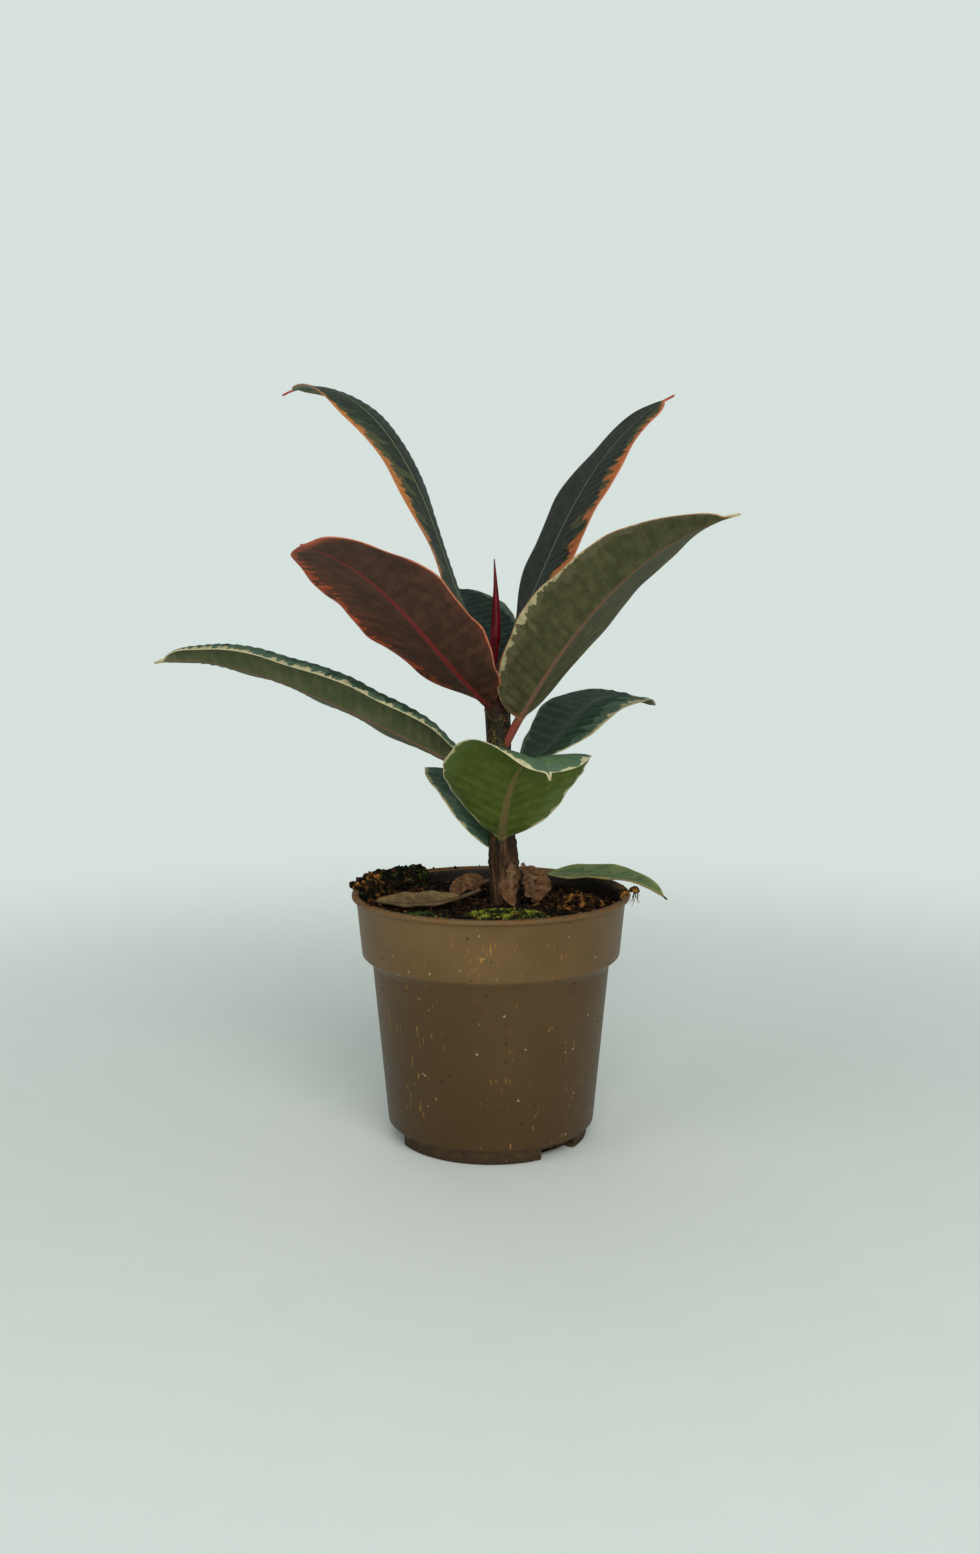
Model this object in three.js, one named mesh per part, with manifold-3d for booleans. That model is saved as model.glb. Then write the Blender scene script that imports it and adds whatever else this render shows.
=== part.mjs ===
// A potted rubber plant with variegated leaves, in a round plastic nursery pot.
// Millimetres, +Z up. The origin is the centre of the pot's flat underside, and -Y is the front.
import * as THREE from "three";
import { mergeVertices } from "three/addons/utils/BufferGeometryUtils.js";
import { LoftGeometry } from "three/addons/geometries/LoftGeometry.js";
import Module from "manifold-3d";

const wasm = await Module();
wasm.setup();

// ---------- driving dimensions ----------

const CLEARANCE = 0.3; // gap left between pieces that touch

const POT_HEIGHT = 107;
const RIM_RADIUS = 60; // outside of the rolled lip
const LIP_THICKNESS = 2.6;
const LIP_HEIGHT = 2.6;
const COLLAR_HEIGHT = 26.5; // lip to the step under the collar
const COLLAR_SET_IN = 2; // the collar's top lies this far inside the lip
const COLLAR_TAPER = 2.3;
const STEP_WIDTH = 4.4; // from the collar's lower edge in to the body
const STEP_HEIGHT = 3.5;
const BODY_TAPER = 6.5;
const FOOT_STEP = 3; // the foot ring lies this far inside the body
const FOOT_HEIGHT = 6.5;
const POT_WALL = 1.4;
const POT_FLOOR = 2;
const POT_SIDES = 48;

const DRAIN_COUNT = 3;
const DRAIN_FIRST_ANGLE = -46; // degrees from +X
const DRAIN_SPREAD = 28; // degrees that one notch takes of the foot
const DRAIN_HEIGHT = 4.6;
const DRAIN_DEPTH = 13; // from the foot's outside towards the centre
const DRAIN_COVER = 1.6; // thickness of the pocket over a notch
const DRAIN_SLOT_SPREAD = 18;
const DRAIN_SLOT_LENGTH = 6;

const SOIL_BELOW_LIP = 6.5;
const SOIL_LUMP = 0.7; // how far the soil rises and falls
const SOIL_SIDES = 36;

const STEM_FOOT_X = 6.2; // the stem leaves the soil this far right of the pot's centre
const STEM_LEAN = 0.04; // mm towards the left for each mm up
const STEM_BURIED = 35;
const STEM_HEIGHT = 104; // from the soil to the growing tip
const STEM_FOOT_RADIUS = 6.8;
const STEM_TOP_RADIUS = 4.9;

const LEAF_THICKNESS = 0.8;
const PETIOLE_RADIUS = 1.8;
const MIDRIB_HEIGHT = 1.1; // how far the midrib stands out under the blade, at its base
const SHEATH_HEIGHT = 44;
const SHEATH_RADIUS = 2.4;
const SHEATH_CURVE = 0.8; // how far its middle bows to the right
const SHEATH_SET_LEFT = 1.2; // its foot stands this far left of the stem's middle
const SHEATH_SEAT = 0.5; // depth of the dip between the top leaf stalks
const FALLEN_STALK_RADIUS = 0.8;

const BLADE_STATIONS = 14; // cross sections along a blade, unless its row says more
const LEAF_RING = 12; // corners of a leaf's cross section
const BEND_STEPS = 8;
const SMALLEST_HALF_WIDTH = 0.4;
const WIDTH_AT_FULL_BEND = 4; // a smaller half width lies flatter, so that a narrow tip doesn't shut
const SOIL_RINGS = 6;

const RIM_Z = POT_HEIGHT;
const STEP_Z = POT_HEIGHT - COLLAR_HEIGHT;
const COLLAR_TOP_RADIUS = RIM_RADIUS - COLLAR_SET_IN;
const COLLAR_FOOT_RADIUS = COLLAR_TOP_RADIUS - COLLAR_TAPER;
const BODY_TOP_RADIUS = COLLAR_FOOT_RADIUS - STEP_WIDTH;
const BODY_FOOT_RADIUS = BODY_TOP_RADIUS - BODY_TAPER;
const FOOT_RADIUS = BODY_FOOT_RADIUS - FOOT_STEP;
const SOIL_Z = POT_HEIGHT - SOIL_BELOW_LIP;

// Each leaf has the height at which it leaves the stem above the soil, its sizes, and how its midrib runs:
// heading (degrees from +X, seen from above), rise (degrees above level) and roll (degrees, right side up)
// pass through evenly spaced values from stem to tip. Each half of the blade, left and right as seen from
// the stem, starts at fold degrees above flat, and its margin has turned curl degrees further. round is how
// blunt the blade's base and end are (0.35 blunt, 0.8 slender), and drip is the drip tip's share of its
// length.
const LEAVES = [
  {
    name: "leaf_low_back_left", height: 17.5, petiole: 8, length: 70, width: 36,
    heading: [140, 128, 112, 112], rise: [56, 50, 14, -12], roll: [0, 0, 0],
    fold: [8, 8], curl: [0, 0], round: [0.46, 0.62], drip: 0.07, color: 0x3c5a49,
  },
  {
    name: "leaf_front", height: 26.5, petiole: 8, length: 77, width: 60, stations: 22,
    heading: [-97, -84, -74, -62, -67], rise: [25, 46, 46, 22, -81], roll: [8, 2, -1, 0, 4],
    fold: [6, 17], curl: [-20, 2], round: [0.8, 0.42], drip: 0.07, color: 0x4d5c26,
  },
  {
    name: "leaf_low_left", height: 49.5, petiole: 18, length: 145, width: 52,
    heading: [188, 191, 176, 157], rise: [36, 27, 19, -12], roll: [-23, -22, -30],
    fold: [49, 14], curl: [-132, 2], round: [0.56, 0.78], drip: 0.05, color: 0x5b5f43,
  },
  {
    name: "leaf_right_back", height: 59.5, petiole: 15, length: 108, width: 47,
    heading: [41, 54, 59, 47], rise: [-17, 30, 7, -2], roll: [10, 5, -14],
    fold: [2, 2], curl: [-3, -3], round: [0.55, 0.42], drip: 0.01, color: 0x2e4038,
  },
  {
    name: "leaf_mid_right", height: 64.5, petiole: 21, length: 134, width: 57,
    heading: [-45, -40, -39, -31], rise: [58, 50, 36, 11], roll: [4, 6, 7],
    fold: [15, 17], curl: [0, 1], round: [0.52, 0.65], drip: 0.07, color: 0x5c5a3a,
  },
  {
    name: "leaf_mid_left", height: 83.5, petiole: 10, length: 125, width: 55,
    heading: [227, 237, 232, 222], rise: [33, 35, 32, 9], roll: [6, -2, -9],
    fold: [5, 0], curl: [0, -5], round: [0.5, 0.38], drip: 0.02, color: 0x5a3a30,
  },
  {
    name: "leaf_back", height: 89.5, petiole: 14, length: 110, width: 50,
    heading: [103, 107, 102, 94], rise: [54, 25, 20, -17], roll: [0, -5, -3],
    fold: [10, 7], curl: [0, 0], round: [0.5, 0.63], drip: 0.07, color: 0x2c4038,
  },
  {
    name: "leaf_upper_left", height: 96.5, petiole: 17, length: 160, width: 46, stations: 28,
    heading: [146, 177, 159, 150], rise: [57, 71, 49, -21], roll: [31, 36, 25],
    fold: [26, -32], curl: [6, -36], round: [0.57, 0.58], drip: 0.07, color: 0x27301f,
  },
  {
    name: "leaf_upper_right", height: 99.5, petiole: 13, length: 135, width: 47,
    heading: [7, 26, 20, 18], rise: [63, 64, 54, 27], roll: [12, 0, -11],
    fold: [0, 1], curl: [-5, -5], round: [0.52, 0.59], drip: 0.07, color: 0x1d231d,
  },
];

// Fallen and withered pieces, described as the leaves are, each from a foot of its own: right of the pot's
// centre, behind it, and above the lip. What lies loose keeps its share of the rim, and what has come off the
// stem starts from the stem's skin.
const STEM_LEFT_SIDE = STEM_FOOT_X - STEM_FOOT_RADIUS;
const STEM_RIGHT_SIDE = STEM_FOOT_X + STEM_FOOT_RADIUS;
const FALLEN = [
  {
    name: "fallen_green_leaf", foot: [0.4 * RIM_RADIUS, 0.55 * RIM_RADIUS, 1.2],
    petiole: 2, length: 59, width: 21, ridge: 0.4,
    heading: [-22, -24, -42], rise: [1, -1, -34], roll: [-22, -16, 0],
    fold: [8, 12], curl: [0, 0], round: [0.6, 0.75], drip: 0.07, color: 0x4b6a50,
  },
  {
    name: "dry_leaf", foot: [STEM_LEFT_SIDE - 3.9, -6.5, 2],
    petiole: 9, length: 0.64 * RIM_RADIUS, width: 17, ridge: 0.4,
    heading: [196, 182, 172], rise: [-24, -4, 8], roll: [10, 12, 12],
    fold: [10, 12], curl: [20, 10], round: [0.55, 0.6], drip: 0.07, color: 0x5a4a30,
  },
  {
    name: "dry_sheath_left", foot: [STEM_LEFT_SIDE + 0.1, 6, 3.4],
    petiole: 2, length: 17, width: 13, ridge: 0.2,
    heading: [185, 200, 215], rise: [-10, -20, -5], roll: [30, 20, 10],
    fold: [25, 30], curl: [40, 30], round: [0.5, 0.5], drip: 0.02, color: 0x6b4a31,
  },
  {
    name: "dry_sheath_right", foot: [STEM_RIGHT_SIDE + 0.4, -2, 12.5],
    petiole: 2, length: 16, width: 18, ridge: 0.2,
    heading: [-20, -30, -35], rise: [-52, -66, -50], roll: [0, -10, -20],
    fold: [10, 10], curl: [35, 40], round: [0.5, 0.45], drip: 0.02, color: 0x76583c,
  },
];

// Cushions of moss and crumbs that lie on the soil. Their centres and their half widths are shares of the
// rim's radius, and their heights are in millimetres.
const CUSHIONS = [
  {
    name: "moss_front", at: [0.1, -0.4], reach: [0.35, 0.18], height: 3.2, turn: 0, color: 0x56661f,
  },
  {
    name: "moss_front_left", at: [-0.45, -0.45], reach: [0.25, 0.13], height: 2.4, turn: -30, color: 0x33431c,
  },
  {
    name: "crumb_clump_right", at: [0.63, -0.08], reach: [0.2, 0.15], height: 6, turn: 25, color: 0x5b4420,
  },
];

// The heap of moss and soil that leans over the lip at the left and the back.
const HEAP_FROM = 122; // degrees from +X
const HEAP_TO = 178;
const HEAP_INSIDE_RIM = 4; // from the rim's outside to the middle of the heap
const HEAP_HALF_WIDTH = 7.5;
const HEAP_OVER_LIP = 4.8;

// The crumb of soil with a rootlet that hangs beside the lip, under the fallen leaf.
const ROOTLET_AT = [RIM_RADIUS + 3.5, 9, -1.2]; // right, behind and above the lip
const ROOTLET_LENGTH = 9;
const ROOTLET_RADIUS = 2.2;

// ---------- helpers ----------

const degrees = THREE.MathUtils.degToRad;

// A three.js geometry as a solid: its corners are merged and its collapsed triangles left out.
function solid(geometry) {
  const bare = new THREE.BufferGeometry();
  bare.setAttribute("position", geometry.attributes.position);
  bare.setIndex(geometry.index);
  const merged = mergeVertices(bare, 1e-4);
  const corners = merged.index.array;
  const kept = [];
  for (let i = 0; i < corners.length; i += 3) {
    const [a, b, c] = corners.slice(i, i + 3);
    if (a !== b && b !== c && c !== a) kept.push(a, b, c);
  }
  const vertProperties = merged.attributes.position.array;
  return new wasm.Manifold(new wasm.Mesh({ numProp: 3, vertProperties, triVerts: new Uint32Array(kept) }));
}

const plant = new THREE.Group();
plant.name = "potted_rubber_plant";

// Adds a solid to the plant as a named mesh with a material of its own.
function place(name, body, color, roughness) {
  const { vertProperties, triVerts } = body.getMesh();
  const geometry = new THREE.BufferGeometry();
  geometry.setAttribute("position", new THREE.BufferAttribute(vertProperties, 3));
  geometry.setIndex(new THREE.BufferAttribute(triVerts, 1));
  geometry.computeVertexNormals();
  const material = new THREE.MeshStandardMaterial({ color, roughness, metalness: 0 });
  const mesh = new THREE.Mesh(geometry, material);
  mesh.name = name;
  plant.add(mesh);
}

// A turned solid from [radius, height] points that start and end on the axis.
function turned(points, sides) {
  const profile = points.map(([radius, height]) => new THREE.Vector2(radius, height));
  return solid(new THREE.LatheGeometry(profile, sides).rotateX(Math.PI / 2));
}

// A block between two radii, two angles and two heights.
function sector(inner, outer, middleAngle, spread, bottom, top) {
  const from = degrees(middleAngle - spread / 2);
  const to = degrees(middleAngle + spread / 2);
  const outline = new THREE.Shape();
  outline.absarc(0, 0, outer, from, to, false);
  outline.absarc(0, 0, inner, to, from, true);
  const options = { depth: top - bottom, bevelEnabled: false, curveSegments: 6 };
  return solid(new THREE.ExtrudeGeometry(outline, options).translate(0, 0, bottom));
}

// A value that passes smoothly through evenly spaced stations as share goes from 0 to 1.
function through(stations, share) {
  const last = Math.max(stations.length - 1, 1);
  return stations.reduce((sum, value, i) => {
    let weight = 1;
    stations.forEach((_, j) => {
      if (j !== i) weight *= (share * last - j) / (i - j);
    });
    return sum + value * weight;
  }, 0);
}

// A round branch through stops, each [x, y, z, radius], made fatter all over by extra.
function branch(stops, sides, extra = 0) {
  const curve = new THREE.CatmullRomCurve3(stops.map(([x, y, z]) => new THREE.Vector3(x, y, z)));
  const girth = new THREE.CatmullRomCurve3(stops.map((stop, i) => new THREE.Vector3(i, stop[3], 0)));
  const steps = (stops.length - 1) * 2;
  const { normals, binormals } = curve.computeFrenetFrames(steps);
  const sections = normals.map((normal, i) => {
    const along = curve.getUtoTmapping(i / steps);
    const centre = curve.getPoint(along);
    const radius = girth.getPoint(along).y + extra;
    return Array.from({ length: sides }, (_, k) => {
      const angle = (2 * Math.PI * k) / sides;
      const point = centre.clone().addScaledVector(normal, radius * Math.cos(angle));
      return point.addScaledVector(binormals[i], radius * Math.sin(angle));
    });
  });
  return solid(new LoftGeometry(sections, { capStart: true, capEnd: true }));
}

// Half the blade's width as a share of its widest, at a share of its length from base to tip.
function bladeOutline(share, [base, end], drip) {
  const along = Math.min(share / (1 - 0.6 * drip), 1);
  const widest = base / (base + end);
  const body = (along / widest) ** base * ((1 - along) / (1 - widest)) ** end;
  const tip = share > 0.5 ? 0.05 * Math.min((1 - share) / Math.max(1.6 * drip, 0.02), 1) : 0;
  return Math.max(body, tip);
}

// A leaf with its stalk, blade and midrib in one piece, growing from foot.
function leaf(spec, foot) {
  const whole = spec.petiole + spec.length;
  const steps = 240;
  const spine = foot.clone();
  const frames = [];
  let before = null;
  for (let i = 0; i <= steps; i++) {
    const heading = degrees(through(spec.heading, i / steps));
    const rise = degrees(through(spec.rise, i / steps));
    const roll = degrees(through(spec.roll, i / steps));
    const forward = new THREE.Vector3(Math.cos(heading), Math.sin(heading), 0);
    forward.multiplyScalar(Math.cos(rise)).setZ(Math.sin(rise));
    if (before) spine.addScaledVector(before.add(forward), whole / steps / 2);
    before = forward.clone();
    const level = new THREE.Vector3(Math.sin(heading), -Math.cos(heading), 0);
    const above = level.clone().cross(forward);
    const right = level.applyAxisAngle(forward, -roll);
    const top = above.applyAxisAngle(forward, -roll);
    frames.push({ spine: spine.clone(), right, top });
  }

  const distances = [0, 0.5, 0.95].map((share) => share * spec.petiole);
  const stations = spec.stations ?? BLADE_STATIONS;
  for (let i = 1; i <= stations; i++) {
    const share = (1 - Math.cos((Math.PI * i) / stations)) / 2;
    distances.push(spec.petiole + share * spec.length);
  }
  const sections = distances.map((distance) => {
    const { spine: centre, right, top } = frames[Math.round((steps * distance) / whole)];
    const share = Math.max((distance - spec.petiole) / spec.length, 0);
    const atTip = share > 0.999;
    const stalk = atTip ? SMALLEST_HALF_WIDTH : (spec.stalk ?? PETIOLE_RADIUS) * (1 - 0.6 * share);
    const half = Math.max((spec.width / 2) * bladeOutline(share, spec.round, spec.drip), SMALLEST_HALF_WIDTH);
    const spread = share > 0.5 ? 1 : THREE.MathUtils.smoothstep(half, stalk, 3 * stalk);
    const flatness = atTip ? 0 : spread;
    const bend = flatness * Math.min(half / WIDTH_AT_FULL_BEND, 1);
    const halfWidth = THREE.MathUtils.lerp(stalk, half, flatness);
    const halfDepth = THREE.MathUtils.lerp(stalk, LEAF_THICKNESS / 2, flatness);
    const ridge = flatness * (spec.ridge ?? MIDRIB_HEIGHT) * (1 - 0.8 * share);
    const [leftFold, rightFold] = spec.fold.map((angle) => bend * degrees(angle));
    const [leftCurl, rightCurl] = spec.curl.map((angle) => bend * degrees(angle));
    return Array.from({ length: LEAF_RING }, (_, k) => {
      const angle = Math.PI - (2 * Math.PI * k) / LEAF_RING;
      const across = Math.cos(angle);
      const reach = Math.abs(across);
      const atMidrib = reach < 0.01;
      const fold = across < 0 ? leftFold : rightFold;
      const curl = across < 0 ? leftCurl : rightCurl;
      let out = 0;
      let lift = 0;
      for (let i = 0; i < BEND_STEPS; i++) {
        const turn = fold + curl * (((i + 0.5) / BEND_STEPS) * reach) ** 2;
        out += (Math.cos(turn) * reach) / BEND_STEPS;
        lift += (Math.sin(turn) * reach) / BEND_STEPS;
      }
      const tilt = atMidrib ? (rightFold - leftFold) / 2 : fold + curl * reach ** 2;
      const towards = across < 0 ? -1 : 1;
      let depth = halfDepth * Math.sin(angle);
      if (atMidrib && depth < 0) depth -= ridge;
      const point = centre.clone();
      point.addScaledVector(right, towards * (halfWidth * out - depth * Math.sin(tilt)));
      return point.addScaledVector(top, halfWidth * lift + depth * Math.cos(tilt));
    });
  });
  return solid(new LoftGeometry(sections, { capStart: true, capEnd: true }));
}

// Small hills and dips of a loose surface, between -1 and 1.
function lumps(x, y) {
  return 0.5 * Math.sin(x / 3.1 + 1.3 * Math.sin(y / 4.7)) + 0.5 * Math.cos(y / 2.6 - x / 6.3);
}

// ---------- pot ----------

// The inside of the wall, from the floor up to the lip, as [radius, height].
const POT_INSIDE = [
  [FOOT_RADIUS - POT_WALL, POT_FLOOR],
  [FOOT_RADIUS - POT_WALL, FOOT_HEIGHT + POT_WALL / 2],
  [BODY_FOOT_RADIUS - POT_WALL, FOOT_HEIGHT + POT_WALL],
  [BODY_TOP_RADIUS - POT_WALL, STEP_Z - STEP_HEIGHT + POT_WALL / 2],
  [COLLAR_FOOT_RADIUS - POT_WALL, STEP_Z + POT_WALL / 2],
  [COLLAR_TOP_RADIUS - POT_WALL, RIM_Z - LIP_HEIGHT],
];

function makePot() {
  const outside = [
    [0, 0],
    [FOOT_RADIUS - 0.8, 0],
    [FOOT_RADIUS, 0.8],
    [FOOT_RADIUS, FOOT_HEIGHT - 0.6],
    [BODY_FOOT_RADIUS - 0.6, FOOT_HEIGHT],
    [BODY_FOOT_RADIUS, FOOT_HEIGHT + 0.8],
    [BODY_TOP_RADIUS, STEP_Z - STEP_HEIGHT],
    [BODY_TOP_RADIUS + 0.25 * STEP_WIDTH, STEP_Z - 0.5 * STEP_HEIGHT],
    [COLLAR_FOOT_RADIUS - 0.2 * STEP_WIDTH, STEP_Z - 0.2 * STEP_HEIGHT],
    [COLLAR_FOOT_RADIUS, STEP_Z],
    [COLLAR_TOP_RADIUS, RIM_Z - LIP_HEIGHT],
    [RIM_RADIUS - 0.3, RIM_Z - 0.8 * LIP_HEIGHT],
    [RIM_RADIUS, RIM_Z - 0.45 * LIP_HEIGHT],
    [RIM_RADIUS - 0.4, RIM_Z - 0.1 * LIP_HEIGHT],
    [RIM_RADIUS - 1, RIM_Z],
    [RIM_RADIUS - LIP_THICKNESS, RIM_Z],
  ];
  const body = turned([...outside, ...POT_INSIDE.toReversed(), [0, POT_FLOOR]], POT_SIDES);
  const pockets = drains(0);
  const notches = drainAngles().map((angle) =>
    sector(FOOT_RADIUS - DRAIN_DEPTH, RIM_RADIUS, angle, DRAIN_SPREAD, -1, DRAIN_HEIGHT));
  const slots = drainAngles().map((angle) => {
    const middle = FOOT_RADIUS - DRAIN_DEPTH / 2;
    const half = DRAIN_SLOT_LENGTH / 2;
    return sector(middle - half, middle + half, angle, DRAIN_SLOT_SPREAD, 1, DRAIN_HEIGHT + 2 * DRAIN_COVER);
  });
  return [...notches, ...slots].reduce((pot, cut) => pot.subtract(cut), body.add(pockets));
}

function drainAngles() {
  return Array.from({ length: DRAIN_COUNT }, (_, i) => DRAIN_FIRST_ANGLE + (360 * i) / DRAIN_COUNT);
}

// The raised pockets over the drain notches, made larger all over by extra.
function drains(extra) {
  const inner = FOOT_RADIUS - DRAIN_DEPTH - DRAIN_COVER - extra;
  const widening = THREE.MathUtils.radToDeg((2 * (DRAIN_COVER + extra)) / inner);
  const pockets = drainAngles().map((angle) =>
    sector(inner, FOOT_RADIUS - POT_WALL / 2 + extra, angle, DRAIN_SPREAD + widening, POT_FLOOR / 2,
      DRAIN_HEIGHT + DRAIN_COVER + extra));
  return pockets.reduce((all, pocket) => all.add(pocket));
}

// Everything outside the pot's inner wall up to the lip, with the clearance.
function wallGuard() {
  const inside = POT_INSIDE.map(([radius, height]) => [radius - CLEARANCE, height]);
  const far = RIM_RADIUS + 20;
  const top = RIM_Z + CLEARANCE;
  const ring = [...inside, [RIM_RADIUS - LIP_THICKNESS - CLEARANCE, top], [far, top], [far, POT_FLOOR]];
  return turned([...ring, ring[0]].toReversed(), POT_SIDES);
}

// ---------- soil and stem ----------

function makeSoil(stemGuard) {
  const inside = POT_INSIDE.map(([radius, height]) => [radius - CLEARANCE, height + CLEARANCE]);
  const below = inside.filter(([, height]) => height < SOIL_Z - SOIL_LUMP);
  const [wideRadius, wideHeight] = inside.at(-1);
  const [stepRadius, stepHeight] = inside.at(-2);
  const level = SOIL_Z - SOIL_LUMP - 0.2;
  const edge = stepRadius + ((wideRadius - stepRadius) * (level - stepHeight)) / (wideHeight - stepHeight);
  const rings = Array.from({ length: SOIL_RINGS }, (_, i) => [edge * (1 - i / SOIL_RINGS) * 0.99, SOIL_Z]);
  const profile = [[0, inside[0][1]], ...below, [edge, level], ...rings, [0, SOIL_Z]];
  const points = profile.map(([radius, height]) => new THREE.Vector2(radius, height));
  const geometry = new THREE.LatheGeometry(points, SOIL_SIDES).rotateX(Math.PI / 2);
  const position = geometry.attributes.position;
  for (let i = 0; i < position.count; i++) {
    if (Math.abs(position.getZ(i) - SOIL_Z) > 1e-3) continue;
    const lift = SOIL_LUMP * lumps(position.getX(i), position.getY(i));
    position.setZ(i, SOIL_Z + lift);
  }
  return solid(geometry).subtract(stemGuard).subtract(drains(CLEARANCE));
}

function stemX(aboveSoil) {
  return STEM_FOOT_X - STEM_LEAN * aboveSoil;
}

// The stem, from its buried end to its tip, a little swollen where the lowest leaves leave it.
function makeStem(extra) {
  const stops = [
    [-STEM_BURIED, 0.55],
    [-STEM_BURIED + 4, 0.8],
    [-8, 0.95],
    [0, 1],
    [16, 0.96],
    [22, 1],
    [30, 0.86],
    [48, 0.8],
    [66, 0.8],
    [83, 0.84],
    [STEM_HEIGHT - 4, STEM_TOP_RADIUS / STEM_FOOT_RADIUS],
    [STEM_HEIGHT, 0.45],
  ];
  const shape = stops.map(([above, girth]) => [stemX(above), 0, SOIL_Z + above, STEM_FOOT_RADIUS * girth]);
  return branch(shape, 12, extra);
}

// ---------- the whole plant ----------

const stemGuard = makeStem(CLEARANCE);
const soil = makeSoil(stemGuard);
const lowSoil = SOIL_Z - SOIL_LUMP + CLEARANCE;
const underSoil = turned([[0, 0], [2 * RIM_RADIUS, 0], [2 * RIM_RADIUS, lowSoil], [0, lowSoil]], 8);
const soilGuard = soil.translate([0, 0, CLEARANCE]).add(underSoil);

place("pot", makePot(), 0x6e6159, 0.45);
place("potting_soil", soil, 0x1d1712, 0.95);
place("stem", makeStem(0), 0x4a3b26, 0.7);

for (const spec of LEAVES) {
  const foot = new THREE.Vector3(stemX(spec.height), 0, SOIL_Z + spec.height);
  place(spec.name, leaf(spec, foot).subtract(stemGuard), spec.color, 0.35);
}

const sheathStops = [0.6, 1, 0.75, 0.4, 0.12].map((girth, i, all) => {
  const share = i / (all.length - 1);
  const above = STEM_HEIGHT + CLEARANCE + SHEATH_SEAT + SHEATH_HEIGHT * share;
  const bow = SHEATH_CURVE * Math.sin(Math.PI * share) - SHEATH_SET_LEFT * (1 - share) ** 2;
  return [stemX(above) + bow, 0, SOIL_Z + above, SHEATH_RADIUS * girth];
});
place("shoot_sheath", branch(sheathStops, 8), 0x7d1624, 0.35);

const [rootX, rootY, rootAboveLip] = ROOTLET_AT;
const rootStops = [0.55, 1, 0.45, 0.22].map((girth, i, all) => {
  const drop = (ROOTLET_LENGTH * i) / (all.length - 1);
  return [rootX + 0.6 * i, rootY - 0.8 * i, RIM_Z + rootAboveLip - drop, ROOTLET_RADIUS * girth];
});
place("rootlet_crumb", branch(rootStops, 7), 0x4a3524, 0.9);

for (const spec of FALLEN) {
  const [x, y, aboveLip] = spec.foot;
  const body = leaf({ ...spec, stalk: FALLEN_STALK_RADIUS }, new THREE.Vector3(x, y, RIM_Z + aboveLip));
  place(spec.name, body.subtract(stemGuard).subtract(soilGuard), spec.color, 0.6);
}

for (const { name, at, reach, height, turn, color } of CUSHIONS) {
  const dome = new THREE.SphereGeometry(1, 14, 8).rotateX(Math.PI / 2);
  dome.scale(reach[0] * RIM_RADIUS, reach[1] * RIM_RADIUS, height).rotateZ(degrees(turn));
  dome.translate(at[0] * RIM_RADIUS, at[1] * RIM_RADIUS, SOIL_Z);
  place(name, solid(dome).subtract(soilGuard), color, 0.95);
}

const heapStops = Array.from({ length: 6 }, (_, i) => {
  const angle = degrees(HEAP_FROM + ((HEAP_TO - HEAP_FROM) * i) / 5);
  const radius = HEAP_HALF_WIDTH * (i === 0 || i === 5 ? 0.6 : 1 + 0.08 * Math.sin(3 * i));
  const height = RIM_Z + HEAP_OVER_LIP - HEAP_HALF_WIDTH;
  const reach = RIM_RADIUS - HEAP_INSIDE_RIM;
  return [reach * Math.cos(angle), reach * Math.sin(angle), height, radius];
});
place("rim_heap_left", branch(heapStops, 10).subtract(wallGuard()).subtract(soilGuard), 0x30301c, 0.95);

export default plant;
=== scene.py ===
# %% [markdown]
# # A young variegated rubber plant in a nursery pot
# The packed model gives every piece its place and size. This script keeps those places and gives each
# piece a fine surface and a finish: moulded plastic, loose peat, bark, waxy leaves, dry leaves and moss.
# Lengths in the tables are millimetres, because that is how a grower measures a leaf, and MM turns them
# into metres.

# %% Load the packed model
import math

import bmesh
import bpy
import numpy as np
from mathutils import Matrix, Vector


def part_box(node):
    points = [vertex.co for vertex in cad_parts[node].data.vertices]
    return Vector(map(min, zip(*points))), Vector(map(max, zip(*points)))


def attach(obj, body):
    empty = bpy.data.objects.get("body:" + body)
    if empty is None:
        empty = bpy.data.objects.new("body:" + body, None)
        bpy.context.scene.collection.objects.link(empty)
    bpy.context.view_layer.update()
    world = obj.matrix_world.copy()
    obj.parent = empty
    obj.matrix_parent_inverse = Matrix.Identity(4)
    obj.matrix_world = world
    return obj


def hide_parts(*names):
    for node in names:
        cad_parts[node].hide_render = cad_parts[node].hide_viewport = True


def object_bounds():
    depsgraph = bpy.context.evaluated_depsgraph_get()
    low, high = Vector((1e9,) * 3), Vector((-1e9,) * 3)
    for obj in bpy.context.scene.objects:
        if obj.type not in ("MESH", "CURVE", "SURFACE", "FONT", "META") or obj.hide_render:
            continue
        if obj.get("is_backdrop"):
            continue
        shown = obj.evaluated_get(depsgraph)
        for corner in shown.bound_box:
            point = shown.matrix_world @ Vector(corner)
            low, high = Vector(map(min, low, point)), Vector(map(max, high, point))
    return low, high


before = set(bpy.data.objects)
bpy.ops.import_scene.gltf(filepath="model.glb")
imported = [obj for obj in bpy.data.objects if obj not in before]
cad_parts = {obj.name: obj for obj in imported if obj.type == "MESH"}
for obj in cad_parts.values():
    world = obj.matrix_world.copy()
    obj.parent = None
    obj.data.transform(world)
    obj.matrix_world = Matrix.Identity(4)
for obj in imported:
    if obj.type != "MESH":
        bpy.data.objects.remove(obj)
cad_low, cad_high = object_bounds()
MM = 0.001
plant_size = cad_high - cad_low
print("plant", [round(length / MM) for length in plant_size], "mm")

# %% [markdown]
# ## Camera
# A short telephoto lens a little above the leaves looks slightly down, so the pot's rim opens into a narrow
# ellipse and the leaves are seen nearly from the side.

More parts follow.
